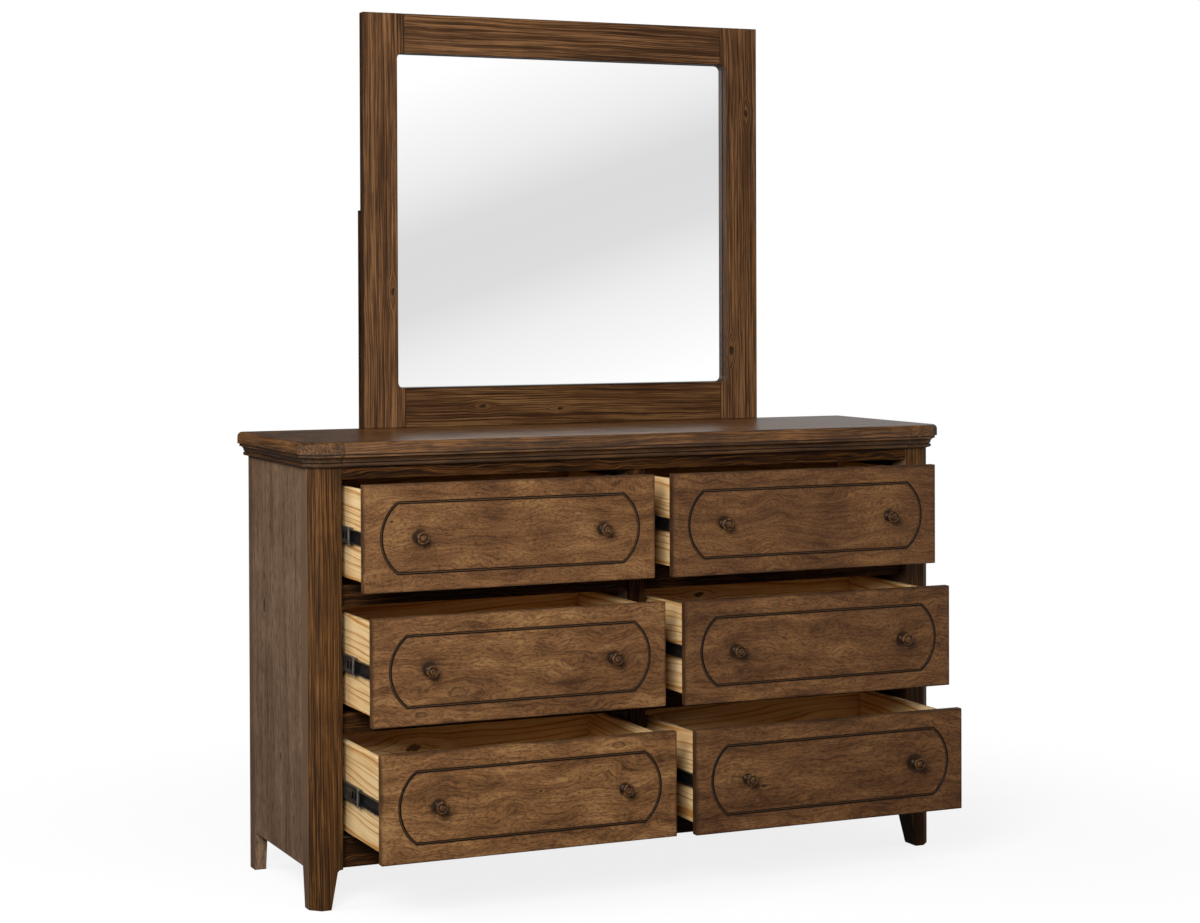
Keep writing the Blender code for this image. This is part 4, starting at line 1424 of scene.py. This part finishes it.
@dataclass
class Drawer:
    """One drawer with its front, box, knobs and slides."""

    bench: Workbench
    row: str
    side: str
    wall: float = 0.012
    bottom: float = 0.006
    bottom_raise: float = 0.010
    member_reach: float = 0.0085
    slide_start: float = 0.020
    middle_near: float = 0.002
    joint: float = 0.0002
    back_drop: float = 0.004
    board_ease_mm: float = 1.6
    corner_ease_mm: float = 0.4

    @property
    def name(self) -> str:
        """Name of the drawer's body."""
        return f"drawer_{self.row}_{self.side}"

    def build(self) -> None:
        """Dress the front and build the knobs, the box and the slides."""
        front = f"{self.name}_front"
        place = (self.row, self.side)
        board = Board.of_node(front, Grain.ALONG_X, FRONT_KNOTS[place])
        # Fronts of the right column take the painted shade, the bottom left one the painted light
        dress(front, FRONT_LIT_AND_SHADED.get(place, FRONT_ALDER).build(board))
        for side in SIDES:
            self.build_knob(side)
        self.build_box()
        for side in SIDES:
            self.build_slide(side)
        LOG.info("drawer: %s", self.name)

    def build_knob(self, side: str) -> None:
        """Put one knob on the front.

        Args:
            side: its side of the front.
        """
        node = f"{self.name}_knob_{side}"
        board = Board.of_node(node, Grain.ALONG_Y)
        place = Vector((board.centre.x, board.high.y, board.centre.z))
        knob = copy_to(self.bench.knob, f"turned_{node}", place)
        seat(knob, self.name, "knob_wood", KNOB_ALDER.build(board), node)

    def build_box(self) -> None:
        """Build the box from five boards of pine."""
        node = f"{self.name}_box"
        low, high = corners(node)
        left, right = low.x + self.member_reach, high.x - self.member_reach
        near, far = low.y, high.y
        inner_left, inner_right = left + self.wall + self.joint, right - self.wall - self.joint
        floor = low.z + self.bottom_raise
        boards = {
            "side_left": ((left, near, low.z), (left + self.wall, far, high.z), Grain.ALONG_Y),
            "side_right": ((right - self.wall, near, low.z), (right, far, high.z), Grain.ALONG_Y),
            "inner_front": (
                (inner_left, near, low.z), (inner_right, near + self.wall, high.z), Grain.ALONG_X
            ),
            "back": (
                (inner_left, far - self.wall, low.z),
                (inner_right, far, high.z - self.back_drop),
                Grain.ALONG_X,
            ),
            "bottom": (
                (inner_left, near + self.wall + self.joint, floor),
                (inner_right, far - self.wall - self.joint, floor + self.bottom),
                Grain.ALONG_X,
            ),
        }
        for label, (start, end, grain) in boards.items():
            name = f"{self.name}_{label}"
            knots = BACK_KNOTS.get((self.row, self.side), ()) if label == "back" else ()
            board = Board(name, Vector(start), Vector(end), grain, knots)
            piece = block(name, board.low, board.high)
            top = board.high.z
            with editing(piece):
                pick_edges(piece, lambda middle, run: abs(middle.z - top) < NEAR)
                bpy.ops.mesh.bevel(offset=self.board_ease_mm * MM, segments=3, affect="EDGES")
                pick_edges(piece, lambda middle, run: abs(run.z) > ALIGNED)
                bpy.ops.mesh.bevel(offset=self.corner_ease_mm * MM, segments=1, affect="EDGES")
            # The top drawers' backs take the pine darkened with painted shade
            finish = PINE_SHADED_BACK if (self.row, label) == ("top", "back") else PINE
            seat(piece, self.name, "pine", finish.build(board), node)

    def build_slide(self, side: str) -> None:
        """Put the moving members of one slide in place.

        Args:
            side: its side of the drawer.
        """
        node = f"runner_{self.row}_{self.side}_{side}"
        way = 1 if side == "left" else -1
        low, high = corners(node)
        base = low.x - self.middle_near if way > 0 else high.x + self.middle_near
        middle_height = (low.z + high.z) / 2
        place = Vector((base, low.y, middle_height))
        body = f"runner_{self.row}_{self.side}"
        middle = copy_to(self.bench.middle, f"member_{node}", place, way)
        seat(middle, body, "slide_steel", self.bench.scuffed, node)
        stop = copy_to(self.bench.stop, f"stop_{node}", place, way)
        seat(stop, body, "slide_steel", self.bench.rubbed)
        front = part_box(f"{self.name}_front")[0][1]
        place = Vector((base, front + self.slide_start, middle_height))
        member = copy_to(self.bench.member, f"{self.name}_member_{side}", place, way)
        seat(member, self.name, "slide_steel", self.bench.zinc, f"{self.name}_box")


@dataclass
class StandingMirror:
    """Framed mirror that stands on the top."""

    bench: Workbench
    ease_mm: float = 1.4
    stile_knots: tuple[tuple[Knot, ...], ...] = (
        (Knot(-0.16, 0.02, 0.005),),
        (Knot(0.26, 0.02, 0.004), Knot(-0.30, -0.02, 0.005)),
    )
    rail_knots: tuple[Knot, ...] = (Knot(-0.21, 0.0, 0.004), Knot(-0.02, -0.01, 0.003))
    screw_rise: tuple[float, ...] = (0.06, 0.30, 0.52, 0.76)

    def build(self) -> None:
        """Build the frame, screw its supports on and dress the glass."""
        for side, knots in zip(SIDES, self.stile_knots):
            self.build_frame_piece(f"mirror_stile_{side}", Grain.ALONG_Z, knots)
            self.screw_support(f"mirror_support_{side}")
        self.build_frame_piece("mirror_rail_top", Grain.ALONG_X, ())
        self.build_frame_piece("mirror_rail_bottom", Grain.ALONG_X, self.rail_knots)
        dress("mirror_glass", SilveredGlass().build(Board.of_node("mirror_glass", Grain.ALONG_X)))
        LOG.info("mirror: frame, glass and screws")

    def build_frame_piece(self, node: str, grain: Grain, knots: tuple[Knot, ...]) -> None:
        """Round the edges of one frame piece and give it its wood.

        Args:
            node: name of the piece's node.
            grain: way its fibres run.
            knots: knots that show in it.
        """
        piece = eased_copy(node, self.ease_mm)
        board = Board.of_node(node, grain, knots)
        finish = MIRROR_WALNUT_DARK if node == "mirror_rail_bottom" else MIRROR_WALNUT
        seat(piece, "case", "mirror_wood", finish.build(board), node)

    def screw_support(self, support: str) -> None:
        """Screw one support to the frame and to the back of the case.

        Args:
            support: name of the support's node.
        """
        low, high = corners(support)
        for index, rise in enumerate(self.screw_rise):
            place = Vector(((low.x + high.x) / 2, high.y, low.z + rise))
            screw = copy_to(self.bench.screw, f"{support}_screw_{index}", place, turn=math.pi)
            seat(screw, "case", "slide_steel", self.bench.bright)


@dataclass(frozen=True)
class PhotoCamera:
    """Camera at the photograph's place, as a position, three turns and a focal length."""

    position: tuple[float, float, float] = (-2.2373, -4.8818, 1.2548)
    yaw_deg: float = -24.11
    pitch_deg: float = -0.73
    roll_deg: float = -0.20
    focal_px: float = 2474.2
    centre_px: tuple[float, float] = (595.96, 321.9)
    sight: float = 200

    def build(self) -> None:
        """Make the camera and the scene's active one."""
        data = bpy.data.cameras.new("photo_camera")
        data.sensor_fit = "HORIZONTAL"
        data.sensor_width = SENSOR_WIDTH_MM
        data.lens = self.focal_px / IMAGE_WIDTH_PX * SENSOR_WIDTH_MM
        data.shift_x = (IMAGE_WIDTH_PX / 2 - self.centre_px[0]) / IMAGE_WIDTH_PX
        data.shift_y = (self.centre_px[1] - IMAGE_HEIGHT_PX / 2) / IMAGE_WIDTH_PX
        data.clip_end = self.sight
        camera = bpy.data.objects.new("photo_camera", data)
        bpy.context.scene.collection.objects.link(camera)
        yaw, pitch, roll = (math.radians(a) for a in (self.yaw_deg, self.pitch_deg, self.roll_deg))
        level = Vector((-math.sin(yaw), math.cos(yaw), 0))
        forward = level * math.cos(pitch) + Vector((0, 0, math.sin(pitch)))
        right = Vector((math.cos(yaw), math.sin(yaw), 0))
        up = right.cross(forward)
        turned_right = right * math.cos(roll) + up * math.sin(roll)
        turned_up = up * math.cos(roll) - right * math.sin(roll)
        columns = Matrix((turned_right, turned_up, -forward)).transposed()
        camera.matrix_world = Matrix.Translation(self.position) @ columns.to_4x4()
        bpy.context.scene.camera = camera
        LOG.info("camera at %s", self.position)


@dataclass(frozen=True)
class Lamp:
    """Square soft lamp aimed at a point."""

    name: str
    position: tuple[float, float, float]
    target: tuple[float, float, float]
    size: float
    power: float
    glossy: bool = True

    def build(self) -> None:
        """Make the lamp."""
        data = bpy.data.lights.new(self.name, "AREA")
        data.shape = "SQUARE"
        data.size = self.size
        data.energy = self.power
        lamp = bpy.data.objects.new(self.name, data)
        bpy.context.scene.collection.objects.link(lamp)
        lamp.location = self.position
        lamp.visible_glossy = self.glossy
        aim = Vector(self.target) - Vector(self.position)
        lamp.rotation_euler = aim.to_track_quat("-Z", "Y").to_euler()


@dataclass(frozen=True)
class Studio:
    """White studio: floor, world and lamps."""

    floor_size: float = 26.0
    shadow_reach: float = 0.9
    white_reach: float = 2.0
    floor_glow: float = 0.84
    floor_bounce: str = "2c2926"
    # Whiteness in reflections: from and to which value it changes, and from and to what strength
    floor_behind: Change = (0.4, 1.6, 1.0, 0.1)
    floor_far: Change = (1.5, 3.5, 0.1, 1.0)
    world_behind: Change = (0.0, 0.5, 0.12, 0.85)
    world_right: Change = (0.26, 0.5, 0.08, 0.6)
    world_up: Change = (-0.02, 0.05, 0.15, 1.0)
    world_strength: float = 0.09
    world_left: float = 0.16
    mirror_way: tuple[float, float, float] = (0.40, -0.915, 0.03)
    mirror_lean: float = 0.378
    mirror_facing: tuple[float, float] = (0.80, 0.95)
    # Grade that the mirror shows, from its lower edge to its upper one
    grade_rate: float = 4.0
    grade_stops: tuple[tuple[float, str], ...] = (
        (0.20, "ffffff"), (0.36, "eeeeee"), (0.45, "dddddd"), (0.52, "dbdbdb"),
        (0.57, "dcdcdc"), (0.66, "ededed"), (0.82, "ffffff"),
    )
    lamps: tuple[Lamp, ...] = (
        Lamp("key_lamp", (-2.35, -3.1, 2.3), (0.0, -0.3, 0.7), 1.7, 205),
        Lamp("side_lamp", (-3.2, 0.6, 2.7), (-0.73, 0.1, 0.8), 1.4, 44, glossy=False),
        Lamp("right_lamp", (3.6, -0.9, 1.7), (0.73, 0.1, 0.6), 1.8, 26, glossy=False),
        Lamp("top_lamp", (0.6, -1.2, 4.8), (0.1, 0.0, 1.0), 2.4, 40, glossy=False),
    )

    def build(self) -> None:
        """Make the floor, the world and the lamps."""
        self.build_floor()
        self.build_world()
        for lamp in self.lamps:
            lamp.build()
        bpy.context.scene.view_settings.view_transform = "Standard"
        LOG.info("studio: floor, world and %d lamps", len(self.lamps))

    @staticmethod
    def rays(graph: Graph) -> list[bpy.types.NodeSocket]:
        """Sockets that tell camera, glossy and transmission rays."""
        rays = graph.add("LightPath").node.outputs
        return [rays[f"Is {kind} Ray"] for kind in ("Camera", "Glossy", "Transmission")]

    def build_floor(self) -> None:
        """White floor that keeps a pale shadow near the dresser and is plain white further off."""
        bpy.ops.object.select_all(action="DESELECT")
        bpy.ops.mesh.primitive_plane_add(size=self.floor_size, location=(0, 0, 0))
        floor = bpy.context.object
        floor.name = "studio_floor"
        material, graph = new_material("studio_floor")
        add = graph.add
        camera_ray, glossy_ray, glass_ray = self.rays(graph)
        place = add("TexCoord", out="Object")
        # Only the far floor in front is white in reflections, so that the wood gets no grey veil
        distance = add("VectorMath.LENGTH", place)
        behind = add(STEP, add("SeparateXYZ", place, out="Y"), *self.floor_behind)
        shown = add("Math.MULTIPLY", behind, add(STEP, distance, *self.floor_far))
        shown = add("Math.MULTIPLY", shown, glossy_ray)
        seen = add("Math.MAXIMUM", camera_ray, shown)
        seen = add("Math.MAXIMUM", seen, glass_ray)
        colour = add(BLEND, seen, self.floor_bounce, WHITE)
        diffuse = add("BsdfDiffuse", {"Color": colour})
        white = add("Emission", {"Color": WHITE, "Strength": 1.0})
        far = add(STEP, distance, self.shadow_reach, self.white_reach, self.floor_glow, 1.0)
        shader = add("MixShader", add("Math.MULTIPLY", far, seen), diffuse, white)
        add("OutputMaterial", shader)
        floor.data.materials.append(material)

    def build_world(self) -> None:
        """World that is white to the eye, dimmer as a light, and graded where the mirror looks."""
        world = bpy.data.worlds.new("studio_world")
        world.use_nodes = True
        bpy.context.scene.world = world
        graph = Graph(world.node_tree)
        add = graph.add
        camera_ray, glossy_ray, glass_ray = self.rays(graph)
        way = add("TexCoord", out="Generated")
        x, y, z = add("SeparateXYZ", way).node.outputs
        lean = add("Math.MULTIPLY_ADD", x, -self.mirror_lean, z)
        grade = add("Math.MULTIPLY_ADD", lean, self.grade_rate, 1.0)
        wall = add("ValToRGB", grade, stops=self.grade_stops)
        facing = add("VectorMath.DOT_PRODUCT", way, self.mirror_way)
        in_mirror = add(STEP, facing, *self.mirror_facing)
        behind = add(STEP, y, *self.world_behind)
        behind = add("Math.MULTIPLY", behind, add(STEP, x, *self.world_right))
        behind = add("Math.MULTIPLY", behind, add(STEP, z, *self.world_up))
        shown = add(BLEND, in_mirror, WHITE, wall)
        strong = add("Math.MAXIMUM", in_mirror, behind)
        left = add("Math.MAXIMUM", add("Math.MULTIPLY", x, -1.0), 0.0)
        soft = add("Math.MULTIPLY_ADD", left, self.world_left, self.world_strength)
        glossy = add("Math.MAXIMUM", glossy_ray, glass_ray)
        strength = add("Mix.FLOAT", {0: glossy, 2: soft, 3: strong})
        strength = add("Math.MAXIMUM", strength, camera_ray)
        colour = add(BLEND, glossy, WHITE, shown)
        background = add("Background", {"Color": colour, "Strength": strength})
        add("OutputWorld", background)


def main() -> None:
    """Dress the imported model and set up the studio."""
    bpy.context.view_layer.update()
    PhotoCamera().build()
    bench = Workbench()
    Case(bench).build()
    for row in ROWS:
        for side in SIDES:
            Drawer(bench, row, side).build()
    StandingMirror(bench).build()
    bench.clear()
    Studio().build()
    LOG.info("scene ready")


if __name__ == "__main__":
    main()
